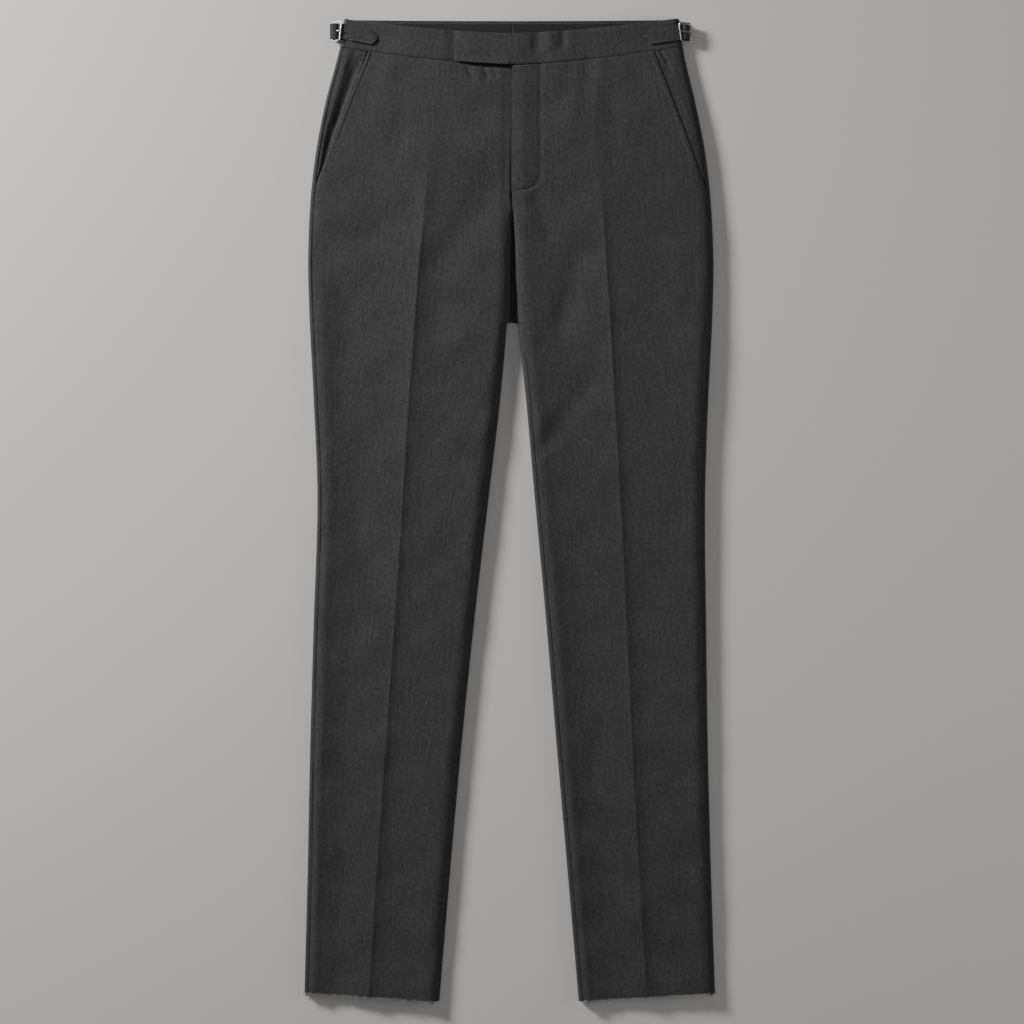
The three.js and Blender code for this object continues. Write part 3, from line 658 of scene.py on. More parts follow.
def joined(*parts):
    return np.unique(np.round(np.concatenate([np.atleast_1d(part) for part in parts]), 6))


# ---- Materials ------------------------------------------------------------------------------

def colour(hex_value):
    """Linear colour from an sRGB hex value."""
    channels = [int(hex_value[k:k + 2], 16) / 255 for k in (1, 3, 5)]
    linear = [c / 12.92 if c <= 0.04045 else ((c + 0.055) / 1.055) ** 2.4 for c in channels]
    return (*linear, 1.0)


def add_node(tree, kind, settings=None, **inputs):
    """Adds a node with its settings, and sets or links its inputs by name."""
    node = tree.nodes.new(kind)
    for name, value in (settings or {}).items():
        setattr(node, name, value)
    for name, value in inputs.items():
        place = int(name[1:]) if name[0] == "_" else name.replace("_", " ")
        socket = node.inputs[place]
        if isinstance(value, bpy.types.NodeSocket):
            tree.links.new(value, socket)
        else:
            socket.default_value = value
    return node


def new_material(name):
    material = bpy.data.materials.new(name)
    material.use_nodes = True
    tree = material.node_tree
    tree.nodes.clear()
    shader = add_node(tree, "ShaderNodeBsdfPrincipled")
    add_node(tree, "ShaderNodeOutputMaterial", Surface=shader.outputs["BSDF"])
    return material, tree, shader


def cut_streaks(tree, across_mm, along_mm, detail=2.0, seed=0.0):
    """Noise on the map of the cut, drawn out along the warp."""
    place = add_node(tree, "ShaderNodeUVMap", {"uv_map": "cut"})
    stretch = add_node(
        tree, "ShaderNodeMapping", None,
        Vector=place.outputs["UV"], Location=(seed, seed, 0.0),
        Scale=(1000 / across_mm, 1000 / along_mm, 1.0),
    )
    return add_node(
        tree, "ShaderNodeTexNoise", None,
        Vector=stretch.outputs["Vector"], Scale=1.0, Detail=detail, Roughness=0.6,
    ).outputs["Fac"]


def blend_value(tree, first, second, share):
    kind = {"data_type": "FLOAT"}
    return add_node(tree, "ShaderNodeMix", kind, _0=share, _2=first, _3=second).outputs[0]


def own_pattern(tree, kind, settings=None, turn=None, **inputs):
    """A texture in the coordinates of the piece itself, turned about Z if turn is given."""
    place = add_node(tree, "ShaderNodeTexCoord").outputs["Object"]
    if turn is not None:
        turned = add_node(tree, "ShaderNodeMapping", None, Vector=place, Rotation=(0.0, 0.0, turn))
        place = turned.outputs["Vector"]
    return add_node(tree, kind, settings, Vector=place, **inputs).outputs["Fac"]


def emboss(tree, shader, height, strength, distance):
    """Raises a pattern from the surface, on top of what is raised already."""
    normal = shader.inputs["Normal"]
    below = {"Normal": link.from_socket for link in normal.links}
    raised = add_node(
        tree, "ShaderNodeBump", None, Strength=strength, Distance=distance, Height=height, **below,
    )
    tree.links.new(raised.outputs["Normal"], normal)


def two_tones(tree, shader, pattern, dark, light, start=0.0, end=1.0):
    """Colours the surface from dark to light between two values of a pattern."""
    ramp = add_node(tree, "ShaderNodeValToRGB", None, Fac=pattern)
    for stop, place, tone in zip(ramp.color_ramp.elements, (start, end), (dark, light)):
        stop.position = place
        stop.color = colour(tone)
    tree.links.new(ramp.outputs["Color"], shader.inputs["Base Color"])


def set_shader(shader, **values):
    """Sets inputs of a shader by name, with _ for each space."""
    for name, value in values.items():
        shader.inputs[name.replace("_", " ")].default_value = value


RIB_SCALE = 314.0           # scale of a wave texture whose bands lie 1 mm apart


def flannel(name, dark, light, sheen):
    """Milled wool flannel spun from dark and pale fibres: a heathered grey with short streaks
    along the warp, no gloss, and a faint pale nap at grazing angles. The fibres are drawn a
    few times coarser than real ones, so that the melange shows at arm's length."""
    material, tree, shader = new_material(name)
    fibre = cut_streaks(tree, 3.4, 4.6, 2.5)
    yarn = cut_streaks(tree, 3.8, 26.0, 1.0, 7.3)
    cloud = cut_streaks(tree, 34.0, 48.0, 1.0, 3.1)
    melange = blend_value(tree, blend_value(tree, fibre, yarn, 0.3), cloud, 0.14)
    two_tones(tree, shader, melange, dark, light, 0.34, 0.66)
    nap = cut_streaks(tree, 0.9, 1.6, 3.0, 11.0)
    emboss(tree, shader, nap, 0.55, 0.00035)
    emboss(tree, shader, yarn, 0.5, 0.0006)
    set_shader(
        shader, Roughness=0.95, Specular_IOR_Level=0.15,
        Sheen_Weight=sheen, Sheen_Roughness=0.55, Sheen_Tint=colour("#8a8b8d"),
    )
    return material


def twill_facing_with_painted_shade():
    """Dark cotton-and-viscose twill: fine diagonal ribs and a slight flat sheen. Its tones are
    darker still than the twill itself: that extra darkness is painted shade for the hollow between
    the front band and the back band.
    """
    material, tree, shader = new_material("viscose twill darkened with painted shade")
    ribs = own_pattern(
        tree, "ShaderNodeTexWave", turn=math.radians(60),
        Scale=RIB_SCALE / 1.4, Distortion=0.4, Detail=1.0,
    )
    # Both tones are partly painted shade: darker than the dark twill itself, standing for the
    # shade in the hollow under the front band.
    two_tones(tree, shader, ribs, "#0f0e10", "#171618")
    emboss(tree, shader, ribs, 0.4, 0.0002)
    set_shader(shader, Roughness=0.62)
    return material


def nickel_plate():
    """Nickel-plated steel wire: bright and slightly warm, dulled in places by fine scuffs."""
    material, tree, shader = new_material("nickel-plated steel")
    scuffs = own_pattern(tree, "ShaderNodeTexNoise", Scale=900.0, Detail=4.0, Roughness=0.65)
    dull = add_node(
        tree, "ShaderNodeMapRange", None,
        Value=scuffs, From_Min=0.3, From_Max=0.7, To_Min=0.2, To_Max=0.38,
    )
    tree.links.new(dull.outputs["Result"], shader.inputs["Roughness"])
    emboss(tree, shader, scuffs, 0.15, 0.0001)
    set_shader(shader, Base_Color=colour("#c9c5bc"), Metallic=1.0)
    return material


def sewing_thread(name, hex_value):
    """Core-spun polyester thread: two plies twisted together, with a low silky sheen."""
    material, tree, shader = new_material(name)
    plies = own_pattern(
        tree, "ShaderNodeTexWave", {"bands_direction": "DIAGONAL"},
        Scale=RIB_SCALE / 0.5, Distortion=0.5,
    )
    emboss(tree, shader, plies, 0.5, 0.0001)
    set_shader(shader, Base_Color=colour(hex_value), Roughness=0.55, Sheen_Weight=0.2)
    return material


def black_tape():
    """Woven polyester zip tape: flat black with a fine rib across."""
    material, tree, shader = new_material("woven zip tape")
    ribs = own_pattern(
        tree, "ShaderNodeTexWave", {"bands_direction": "Y"}, Scale=RIB_SCALE, Distortion=0.2,
    )
    emboss(tree, shader, ribs, 0.5, 0.0002)
    set_shader(shader, Base_Color=colour("#161517"), Roughness=0.7)
    return material


def pale_floor():
    """Matt painted board: pale, with a barely uneven surface."""
    material, tree, shader = new_material("matt pale board")
    grain = own_pattern(tree, "ShaderNodeTexNoise", Scale=120.0, Detail=3.0)
    emboss(tree, shader, grain, 0.1, 0.0002)
    set_shader(shader, Base_Color=colour("#d8d6d2"), Roughness=0.9)
    return material


CLOTH_FACE = flannel("charcoal wool flannel", "#353536", "#484848", 0.12)
FACING_TWILL_WITH_PAINTED_SHADE = twill_facing_with_painted_shade()
NICKEL = nickel_plate()
# Charcoal thread darkened to the tone of the cloth in shade: partly the thread's own colour,
# partly painted shade along the stitch lines.
THREAD_WITH_PAINTED_SHADE = sewing_thread("charcoal thread darkened with painted shade", "#2b2a2b")
FRAY = sewing_thread("loose wool ends", "#8f8d8b")
TAPE = black_tape()
FLOOR = pale_floor()


# ---- Cloth panels ---------------------------------------------------------------------------

FRONT_PLACES = joined(eased(0, 1, 40, 0.75), eased(1, 2, 48, 0.5), np.linspace(2, 3, 17))
BACK_PLACES = joined(
    np.linspace(0, 0.8, 13), 0.9, eased(1, 2, 34, 0.3),
    np.linspace(2, 3, 17), np.linspace(3, 4, 4),
)


def levels(count):
    rows = np.linspace(HEM_Y, WAIST_Y, count)
    crotch = [CROTCH_Y - 0.8, CROTCH_Y - 0.1, CROTCH_Y + 0.1, CROTCH_Y + 0.8]
    ends = [HEM_Y + 0.8, WAIST_Y - 0.7, WAIST_Y - 1.6, WAIST_Y - 3]
    return joined(rows, crotch, ends, FLY_LAPPED - 0.2, FLY_LAPPED + 0.2)


def front_levels():
    """Closer rows where the fly stitching turns in to the centre and where puckers start."""
    return joined(levels(390), np.linspace(379.5, 399.0, 23), np.linspace(521.0, 533.0, 11))


def panel(name, half, line, places, rows, centre_lift, facing_up):
    def shape(place, level):
        y = settled_y(half, line, place, level, centre_lift)
        u, z = line(half, place, y)
        top = z > 4
        z = z - 0.6 * bump(WAIST_Y - level, 1.3) * top
        if half is RIGHT and facing_up:
            at_end = smooth(TAB_END_X - 3, TAB_END_X, u)
            under_tab = 0.35 * at_end + 0.65 * smooth(TAB_END_X, TAB_END_X + 22, u)
            dent = UNDER_TAB_DEPTH * under_tab * bump(WAIST_Y - level, UNDER_TAB_REACH)
            z = z - dent * top
        return -half["side"] * u, y, np.maximum(z, 0)

    return cloth(name, shape, places, rows, facing_up, CLOTH)


def fronts_and_backs():
    for word, half in HALVES:
        front = panel(
            f"front_cloth_{word}", half, front_line, FRONT_PLACES, front_levels(), 0, True
        )
        dress(front, CLOTH_FACE, "flannel", f"front_{word}")
        back = panel(
            f"back_cloth_{word}", half, back_line, BACK_PLACES, levels(300), BACK_WAIST_LIFT, False
        )
        dress(back, CLOTH_FACE, "flannel", f"back_{word}")


fronts_and_backs()


# ---- Pocket facings, waistband and fly ------------------------------------------------------

def front_waist(x):
    return WAIST_Y + WAIST_RISE * (np.abs(x) / HALF_WAIST) ** 1.5


def band_top(x):
    return BAND_TOP_Y + BAND_TOP_RISE * (np.abs(x) / HALF_WAIST) ** 1.5


def back_top(x):
    return BACK_TOP_Y + BACK_TOP_RISE * (x / HALF_WAIST) ** 2


def top_layer(x, y):
    """Height of the front at any place, whichever half it is on."""
    return np.where(x < CENTRE_X, base_height(RIGHT, x, y), base_height(LEFT, -x, y))


def layer(name, columns, rows, x_at, y_at, height, thickness, rounding=0.0):
    """A sheet between two edges in x and two in y, its face at height(x, y, column, row)."""
    def shape(column, row):
        x = x_at(column, y_at(0 * column, row))
        y = y_at(x, row)
        x = x_at(column, y)
        y = y_at(x, row)
        return x, y, height(x, y)

    return cloth(name, shape, columns, rows, True, thickness, rounding)


# Small folds of the pocket facings, from one point to another.
FACING_FOLDS = [
    (181, 553, 189, 538, 2.4, -1.1),
    (189, 538, 192, 524, 2.6, -0.5),
    (-186, 552, -194, 532, 4.0, -0.8),
    (-216, 462, -221, 436, 3.0, -0.7),
]


def pocket_facing(word, half):
    def spot(column, y):
        seam = seam_u(half, y) + SEAM_GAP
        mouth = np.maximum(mouth_u(half, y), seam + 0.3)
        return np.where(column <= 1, mix(seam, mouth, column), mouth + column - 1)

    def shape(column, level):
        waist = front_waist(spot(column, half["mouth_top"][1] + 0 * column))
        y = mix(FACING_LOW, waist - 0.2, level)
        u = spot(column, y)
        below = front_height(half, u, y) - CLOTH - LAYER_GAP
        from_mouth = mouth_u(half, y) - u
        ramp = smooth(0.35, 1, column) if half is RIGHT else smooth(2.5, 0, from_mouth)
        sunk = np.maximum(ramp, smooth(404, 397, y))
        z = mix(base_height(half, u, y), below, sunk)
        width = smooth(0, 22, mouth_u(half, y) - seam_u(half, y)) * smooth(-2, 26, waist - y)
        trough = smooth(0.15, 0.72, column) - 0.5 * smooth(0.72, 1.0, column)
        z = z - half["facing_sag"] * width * trough
        z = z - 0.8 * bump(u - mouth_u(half, y) + 1.0, 0.8) * (half is RIGHT)
        z = z + relief(FACING_FOLDS, -half["side"] * u, y)
        z = z - 0.3 * groove(u - seam_u(half, y)) - 0.2 * bump(waist - y, 1.3)
        return -half["side"] * u, y, z

    columns = joined(np.linspace(0, 1, 34), np.linspace(1, 1 + FACING_UNDERLAP, 9)[1:])
    name = f"pocket_facing_cloth_{word}"
    piece = cloth(name, shape, columns, np.linspace(0, 1, 110), True, FACING)
    return dress(piece, CLOTH_FACE, "flannel", f"pocket_facing_{word}")


def band_edges(x, y):
    """The band is drawn down into the waist seam and rolls over at its top edge."""
    seam = 0.5 * bump(y - front_waist(x) - SEAM_GAP, 1.4)
    return seam + 0.35 * bump(band_top(x) - y, 1.2)


def front_band(word, columns, x_at, height):
    piece = layer(
        f"band_cloth_{word}", columns, joined(np.linspace(0, 1, 22), 0.012, 0.03, 0.97, 0.988),
        x_at, lambda x, share: mix(front_waist(x) + SEAM_GAP, band_top(x), share),
        height, BAND, BAND_ROUND,
    )
    return dress(piece, CLOTH_FACE, "flannel", f"waistband_front_{word}")


def band_right():
    def x_at(column, y):
        return mix(seam_u(RIGHT, y) + SEAM_GAP, CENTRE_X + FLY_LAP, column)

    def height(x, y):
        under_tab = smooth(TAB_END_X - TAB_UNDER, TAB_END_X - 0.5, x)
        return top_layer(x, y) + BAND_PROUD - TAB_HOLLOW * under_tab - band_edges(x, y)

    columns = joined(np.linspace(0, 0.6, 90), np.linspace(0.6, 0.72, 30), np.linspace(0.72, 1, 20))
    return front_band("right", columns, x_at, height)


def band_left():
    """The left front band, which runs on past the fly as the tab."""
    def x_at(column, y):
        tab = mix(TAB_END_X, CENTRE_X, column)
        return np.where(column <= 1, tab, mix(CENTRE_X, -seam_u(LEFT, y) - SEAM_GAP, column - 1))

    def height(x, y):
        tab = 1 - smooth(CENTRE_X + FLY_LAP + 2, TAB_OVER, x)
        on_tab = 1 - smooth(CENTRE_X - 6, CENTRE_X + 2, x)
        low_edge = 1.2 * on_tab * bump(y - front_waist(x), 7.0) * smooth(0, 30, x - TAB_END_X)
        lift = mix(BAND_PROUD, TAB_PROUD, tab) + low_edge - 1.1 * smooth(20, 0, x - TAB_END_X)
        edges = band_edges(x, y) * (1 - 0.8 * on_tab) + 0.7 * bump(x - TAB_END_X, 1.5)
        return top_layer(x, y) + lift - edges

    columns = joined(np.linspace(0, 1, 60), np.linspace(1, 2, 170))
    return front_band("left", columns, x_at, height)


def back_band(word, half):
    def shape(place, level):
        low = settled_y(half, back_line, place, WAIST_Y + 0 * place, BACK_WAIST_LIFT) + SEAM_GAP
        u = back_line(half, place, BACK_TOP_Y + 0 * place)[0]
        y = mix(low, back_top(u), level)
        u, z = back_line(half, place, y)
        wrapped = groove(seam_u(half, y) - u) + BAND_PROUD
        z = z + wrapped * smooth(2.9, 3.0, place)
        return -half["side"] * u, y, np.maximum(z, 0)

    rows = joined(np.linspace(0, 1, 16), 0.02, 0.98)
    name = f"band_back_cloth_{word}"
    piece = cloth(name, shape, BACK_PLACES, rows, False, BAND, BAND_ROUND)
    return dress(piece, CLOTH_FACE, "flannel", f"waistband_back_{word}")


def band_facing(word, half):
    def x_at(c, y):
        inside = fold_u(half, y) + 2 * SIDE_ROLL + 1
        return -half["side"] * mix(inside, centre_u(half) - SEAM_GAP / 2, c)

    def height(x, y):
        puffed = 0.25 * np.sin(x / 9.0) * np.sin(y / 6.0 + x / 31.0)
        edge = 0.5 * bump(back_top(x) - FACING_MARGIN - y, 1.2)
        return BAND + LAYER_GAP + FACING + 0.2 + puffed * 0.5 - edge

    def y_at(x, share):
        return mix(WAIST_Y + BACK_WAIST_LIFT + 3, back_top(x) - FACING_MARGIN, share)

    piece = layer(
        f"band_facing_cloth_{word}", np.linspace(0, 1, 80), joined(np.linspace(0, 1, 12), 0.97),
        x_at, y_at, height, FACING, 0.3,
    )
    # The facing's material carries painted shade for the hollow under the front band, on top of
    # the twill's own dark colour.
    return dress(piece, FACING_TWILL_WITH_PAINTED_SHADE, "band_facing", f"waistband_facing_{word}")


def fly_shield():
    piece = layer(
        "fly_shield_cloth", np.linspace(0, 1, 24), np.linspace(0, 1, 60),
        lambda c, y: mix(CENTRE_X - SHIELD_REACH, CENTRE_X + FLY_WIDTH, c),
        lambda x, share: mix(FLY_BOTTOM - 2, FLY_TOP, share),
        lambda x, y: top_layer(x, y) - SHIELD_DEPTH, FACING,
    )
    return dress(piece, CLOTH_FACE, "flannel", "fly_shield")


def zip_tape():
    """The tape with its chain of teeth, shut under the fly."""
    def height(x, y):
        return front_height(LEFT, -x, y) - CLOTH - LAYER_GAP

    start = CENTRE_X + FLY_LAP + SEAM_GAP
    tape = layer(
        "zip_tape", np.linspace(0, 1, 12), np.linspace(0, 1, 60),
        lambda c, y: start + c * ZIP_WIDTH,
        lambda x, share: mix(FLY_BOTTOM, FLY_TOP, share),
        lambda x, y: height(x, y) - 0.75, 0.6,
    )
    dress(tape, TAPE, "zip_tape", "fly_zip")
    y = np.arange(FLY_BOTTOM + 6, FLY_TOP - 4, 1.6)
    x = np.full_like(y, start + ZIP_WIDTH / 2)
    x[::2] += 0.5
    z = height(x, y) - 0.45
    teeth = grains("zip_teeth", x, y, z, np.zeros_like(x), 2.6, 0.42)
    dress(teeth, TAPE, "zip_tape")
    return tape, teeth


# ---- Stitches, wires and loose ends ---------------------------------------------------------

STITCH_PITCH, STITCH_LENGTH = 2.7, 2.2
THREAD_RADIUS, FLY_THREAD_RADIUS = 0.26, 0.34
TACK_PITCH, TACK_LENGTH = 0.45, 1.9


def grains(name, x, y, z, turn, length, radius, tilt=None):
    """One small rounded rod copied to many places, each turned in the plane of the cloth."""
    deselect()
    bpy.ops.mesh.primitive_uv_sphere_add(segments=6, ring_count=5, radius=1.0)
    piece = bpy.context.object
    piece.name = name
    model = np.array([v.co[:] for v in piece.data.vertices])
    faces = [tuple(p.vertices) for p in piece.data.polygons]
    model = model[:, [2, 0, 1]] * np.array([length / 2, radius, radius])
    tilt = np.zeros_like(x) if tilt is None else tilt
    cos, sin = np.cos(turn)[:, None], np.sin(turn)[:, None]
    points = np.stack([
        x[:, None] + model[:, 0] * cos - model[:, 1] * sin,
        y[:, None] + model[:, 0] * sin + model[:, 1] * cos,
        z[:, None] + model[:, 2] + model[:, 0] * tilt[:, None],
    ], axis=2)
    count = len(model)
    every = [tuple(v + k * count for v in face) for k in range(len(x)) for face in faces]
    remake(piece, points.reshape(-1, 3), every)
    smooth_shading(piece, 60)
    return piece


def steps(path):
    """Lengths of the straight pieces of a path."""
    return np.hypot(*np.diff(path, axis=0).T)


def on_path(path, places):
    """Points at the given distances along a path."""
    reached = np.concatenate([[0.0], np.cumsum(steps(path))])
    return np.interp(places, reached, path[:, 0]), np.interp(places, reached, path[:, 1])


def stitch_line(name, path, height, radius=THREAD_RADIUS):
    """Lock stitches at even steps along a path, each a little sunk into the cloth."""
    points = np.array(path, dtype=float)
    places = np.arange(STITCH_PITCH / 2, np.cumsum(steps(points))[-1], STITCH_PITCH)
    x, y = on_path(points, places)
    ahead_x, ahead_y = on_path(points, places + 0.5)
    turn = np.arctan2(ahead_y - y, ahead_x - x)
    z = height(x, y) - 0.4 * radius
    rise = height(x + np.cos(turn), y + np.sin(turn)) - height(x, y)
    return dress(grains(name, x, y, z, turn, STITCH_LENGTH, radius, rise), THREAD_WITH_PAINTED_SHADE, "flannel")


def front_at(x, y):
    return np.where(x < CENTRE_X, front_height(RIGHT, x, y), front_height(LEFT, -x, y))


def bar_tack(name, x, y, width, height):
    """A close row of upright stitches that locks the end of an opening."""
    places = np.arange(-width / 2, width / 2 + 0.01, TACK_PITCH)
    xs = x + places
    ys = np.full_like(xs, y)
    turn = np.full_like(xs, math.pi / 2)
    piece = grains(name, xs, ys, height(xs, ys) + 0.1, turn, TACK_LENGTH, THREAD_RADIUS)
    return dress(piece, THREAD_WITH_PAINTED_SHADE, "flannel")


def all_stitches():
    stitch_line("fly_stitches", FLY_STITCH, front_at, FLY_THREAD_RADIUS)
    for word, half in HALVES:
        y = np.linspace(half["mouth_end"][1] + 2, half["mouth_top"][1] - 8, 30)
        x = -half["side"] * (mouth_u(half, y) + half["mouth_stitch"])
        stitch_line(f"pocket_stitches_{word}", list(zip(x, y)), front_at)
        for place, level, width in (
            ("low", half["mouth_end"][1] - 2.0, 7.0), ("high", half["mouth_top"][1] - 8.5, 5.5),
        ):
            middle = -half["side"] * (mouth_u(half, np.array([level]))[0] + width / 2 + 0.4)
            bar_tack(f"bar_tack_{word}_{place}", middle, level, width, front_at)


def wire(name, points, radius, closed):
    """A round wire through points, as a closed ring or with rounded ends."""
    deselect()
    bpy.ops.curve.primitive_bezier_curve_add()
    piece = bpy.context.object
    piece.name = name
    curve = piece.data
    curve.splines.clear()
    spline = curve.splines.new("POLY")
    spline.points.add(len(points) - 1)
    for point, spot in zip(spline.points, points):
        point.co = (*(value * MM for value in spot), 1.0)
    spline.use_cyclic_u = closed
    curve.dimensions = "3D"
    curve.fill_mode = "FULL"
    curve.bevel_depth = radius * MM
    curve.bevel_resolution = 3
    curve.use_fill_caps = not closed
    bpy.ops.object.convert(target="MESH")
    piece = bpy.context.object
    smooth_shading(piece, 60)
    return piece


# ---- Side adjusters -------------------------------------------------------------------------

STRAP = 1.4
STRAP_WIDTH = 19.0
STRAP_LOW = 2.4
STRAP_SEAT = 0.38           # room between the front band and the strap on it
STRAP_SOFTENING = (-1.6, -0.8, 0.0, 0.8, 1.6)
STRAP_STITCH_INSET = 2.2
TIP_LENGTH, TIP_WIDTH = 8.0, 2.0
WIRE = 0.9
BUCKLE_LENGTH = 22.2
BUCKLE_CORNER = 2.4
PRONG = 0.65
PRONG_ARCH = 0.5
ADJUSTERS = {
    "right": dict(
        half=RIGHT, y=575.5, slope=-0.195, tip=158.6, bend=216.5, high=10.4, hole=(185.7, 0.35),
        outer=(213.4, 6.0), inner=(203.0, 12.8), prong=207.6, lean=1.2, dip=(1.8, 0.0),
    ),
    "left": dict(
        half=LEFT, y=574.2, slope=-0.145, tip=160.6, bend=216.4, high=11.5, hole=(187.5, 1.2),
        outer=(218.0, 9.3), inner=(204.5, 13.6), prong=218.6, lean=1.5, dip=(0.0, 1.6),
    ),
}


def strap_route(adjuster):
    """Middle line of a strap: out from the side of the back band, round and over the front."""
    half, y, bend, high = (adjuster[name] for name in ("half", "y", "bend", "high"))
    level = np.array([y])
    fold = -fold_u(half, level)[0]
    radius = (high - STRAP_LOW) / 2
    centre = bend - STRAP / 2 - radius
    route = [(fold + 0.15, STRAP_LOW), (centre, STRAP_LOW)]
    for angle in np.radians(np.linspace(-75, 75, 11)):
        z = STRAP_LOW + radius * (1 + math.sin(angle))
        route.append((centre + radius * math.cos(angle), z))
    route.append((centre, high))
    for reach in np.linspace(fold - 4, adjuster["tip"], 8):
        below = base_height(half, np.array([-reach]), level)[0]
        route.append((reach, below + BAND_PROUD + STRAP_SEAT + STRAP / 2))
    return np.array(route)


def strap_spot(adjuster, place, across):
    """A point of the strap's middle layer: share of its length and share of its half width."""
    route = adjuster["route"]
    length = np.cumsum(steps(route))[-1]
    reach, z = 0.0 * place, 0.0 * place
    for shift in STRAP_SOFTENING:
        spot = on_path(route, np.clip(place * length + shift, 0, length))
        reach = reach + spot[0] / len(STRAP_SOFTENING)
        z = z + spot[1] / len(STRAP_SOFTENING)
    left = (1 - place) * length
    half_width = mix(TIP_WIDTH, STRAP_WIDTH, np.clip(left / TIP_LENGTH, 0, 1)) / 2
    fold = fold_u(adjuster["half"], np.array([adjuster["y"]]))[0]
    inward = np.maximum(-fold - reach, 0)
    gather = 1 - 0.06 * bump(reach - adjuster["inner"][0], 5.0) - 0.05 * smooth(206, 212, reach)
    y = adjuster["y"] + adjuster["slope"] * inward + across * half_width * gather
    start = smooth(0.04, 0, place)
    return reach + start * (fold - fold_u(adjuster["half"], y)), y, z


def strap_top(adjuster, place, across):
    """Upper face of the strap, with its stitched edges, hole and the pull of the buckle."""
    reach, y, z = strap_spot(adjuster, place, across)
    on_top = smooth(0.5, 0.55, place)
    from_end = (1 - place) * adjuster["length"] - TIP_LENGTH * np.maximum(np.abs(across) - 0.1, 0)
    inside = (1 - np.abs(across)) * STRAP_WIDTH / 2
    from_edge = np.minimum(inside, np.maximum(from_end, 0))
    lifted = smooth(-0.5, -1.0, across) * 0.8 * smooth(0.55, 0.62, place)
    edge = 0.6 * bump(from_edge, 1.5) * smooth(-1, -0.7, across) - lifted
    stitched = 0.28 * bump(inside - STRAP_STITCH_INSET, 0.8)
    hole_at, depth = adjuster["hole"]
    hole = depth * bump(np.hypot(reach - hole_at, across * STRAP_WIDTH / 2), 1.5)
    from_bar = reach - adjuster["inner"][0]
    pull = 0.35 * np.sin(across * 9.0 + 1.0) * bump(from_bar + 5, 6.0)
    dip, bulge = adjuster["dip"]
    dip = dip * bump(from_bar - 3.0, 2.2)
    bulge = bulge * bump(from_bar - 7.0, 3.2)
    z = z + (pull - edge - stitched - hole) * on_top
    return reach, y, z + (bulge - dip) * smooth(0.2, 0.3, place)


def strap(word, adjuster):
    adjuster["route"] = strap_route(adjuster)
    adjuster["length"] = steps(adjuster["route"]).sum()

    def shape(place, level):
        reach, y, z = strap_top(adjuster, place, mix(-1, 1, level))
        return adjuster["half"]["side"] * reach, y, z

    columns = joined(np.linspace(0, 1, 150), np.linspace(0.9, 1, 24))
    rows = joined(np.linspace(0, 1, 30), 0.01, 0.99)
    piece = cloth_grid(f"strap_cloth_{word}", shape, columns, rows)
    apply_modifier(piece, "SOLIDIFY", thickness=STRAP * MM, offset=0.0)
    apply_modifier(piece, "BEVEL", width=0.4 * MM, segments=2, limit_method="ANGLE")
    smooth_shading(piece, 60)
    return dress(piece, CLOTH_FACE, "flannel", f"adjuster_strap_{word}")


def strap_stitches(word, adjuster):
    """Two lines along the edges of the strap that meet before its point."""
    side = adjuster["half"]["side"]
    x, y, z, turn = [], [], [], []
    length = adjuster["length"]
    for share in (-1, 1):
        places = np.arange(0.44, 1 - 7.0 / length, 2.3 / length)
        edge = 1 - STRAP_STITCH_INSET / (STRAP_WIDTH / 2)
        reach, level, height = strap_top(adjuster, places, share * edge + 0 * places)
        x.append(side * reach)
        y.append(level)
        z.append(height + STRAP / 2 - 0.02)
        turn.append(np.arctan2(np.gradient(level), np.gradient(side * reach)))
    x, y, z, turn = (np.concatenate(part) for part in (x, y, z, turn))
    piece = grains(f"strap_stitches_{word}", x, y, z, turn, 1.8, 0.24)
    return dress(piece, THREAD_WITH_PAINTED_SHADE, "flannel")


def round_corners(corners, radius):
    """The ring through four corners with each corner turned in an arc."""
    corners = [Vector(corner) for corner in corners]
    path = []
    for k, corner in enumerate(corners):
        before = (corners[k - 1] - corner).normalized() * radius
        after = (corners[(k + 1) % 4] - corner).normalized() * radius
        for step in np.linspace(0, 1, 7):
            low, high = (1 - step) ** 2, step ** 2
            path.append(corner + before * low + after * high)
    return path


def buckle(word, adjuster):
    side, y = adjuster["half"]["side"], adjuster["y"]
    low, high = y - BUCKLE_LENGTH / 2, y + BUCKLE_LENGTH / 2
    (outer, outer_z), (inner, inner_z) = adjuster["outer"], adjuster["inner"]
    lean = adjuster["lean"]
    corners = [
        (side * (outer + 0.6 * lean), low, outer_z), (side * (inner + lean), low, inner_z),
        (side * (inner - lean), high, inner_z), (side * (outer - 0.6 * lean), high, outer_z),
    ]
    ring = wire(f"buckle_wire_{word}", round_corners(corners, BUCKLE_CORNER), WIRE, True)
    dress(ring, NICKEL, "nickel", f"adjuster_buckle_{word}")
    clear = WIRE + LAYER_GAP + PRONG + 0.1
    start_z = outer_z + clear if adjuster["prong"] > outer else adjuster["high"] + STRAP / 2 + 1.8
    start = (side * adjuster["prong"], y, start_z)
    end = (side * (inner - 1.4), y, inner_z + clear)
    middle = [mix(a, b, 0.5) for a, b in zip(start, end)]
    middle[2] += PRONG_ARCH
    pin = wire(f"prong_wire_{word}", [start, middle, end], PRONG, False)
    return dress(pin, NICKEL, "nickel", f"buckle_prong_{word}")


# ---- Raw hems -------------------------------------------------------------------------------

FRAYS_PER_LAYER = 170
FRAY_SEEDS = {"right": 5, "left": 9}
FRAY_RADIUS = 0.34
FRAY_CLEAR = 0.45           # lowest middle line of a fray above the floor
SHORT_FRAYS, LONG_FRAYS, LONG_ABOVE = (0.8, 2.4), (3.0, 6.0), 0.9


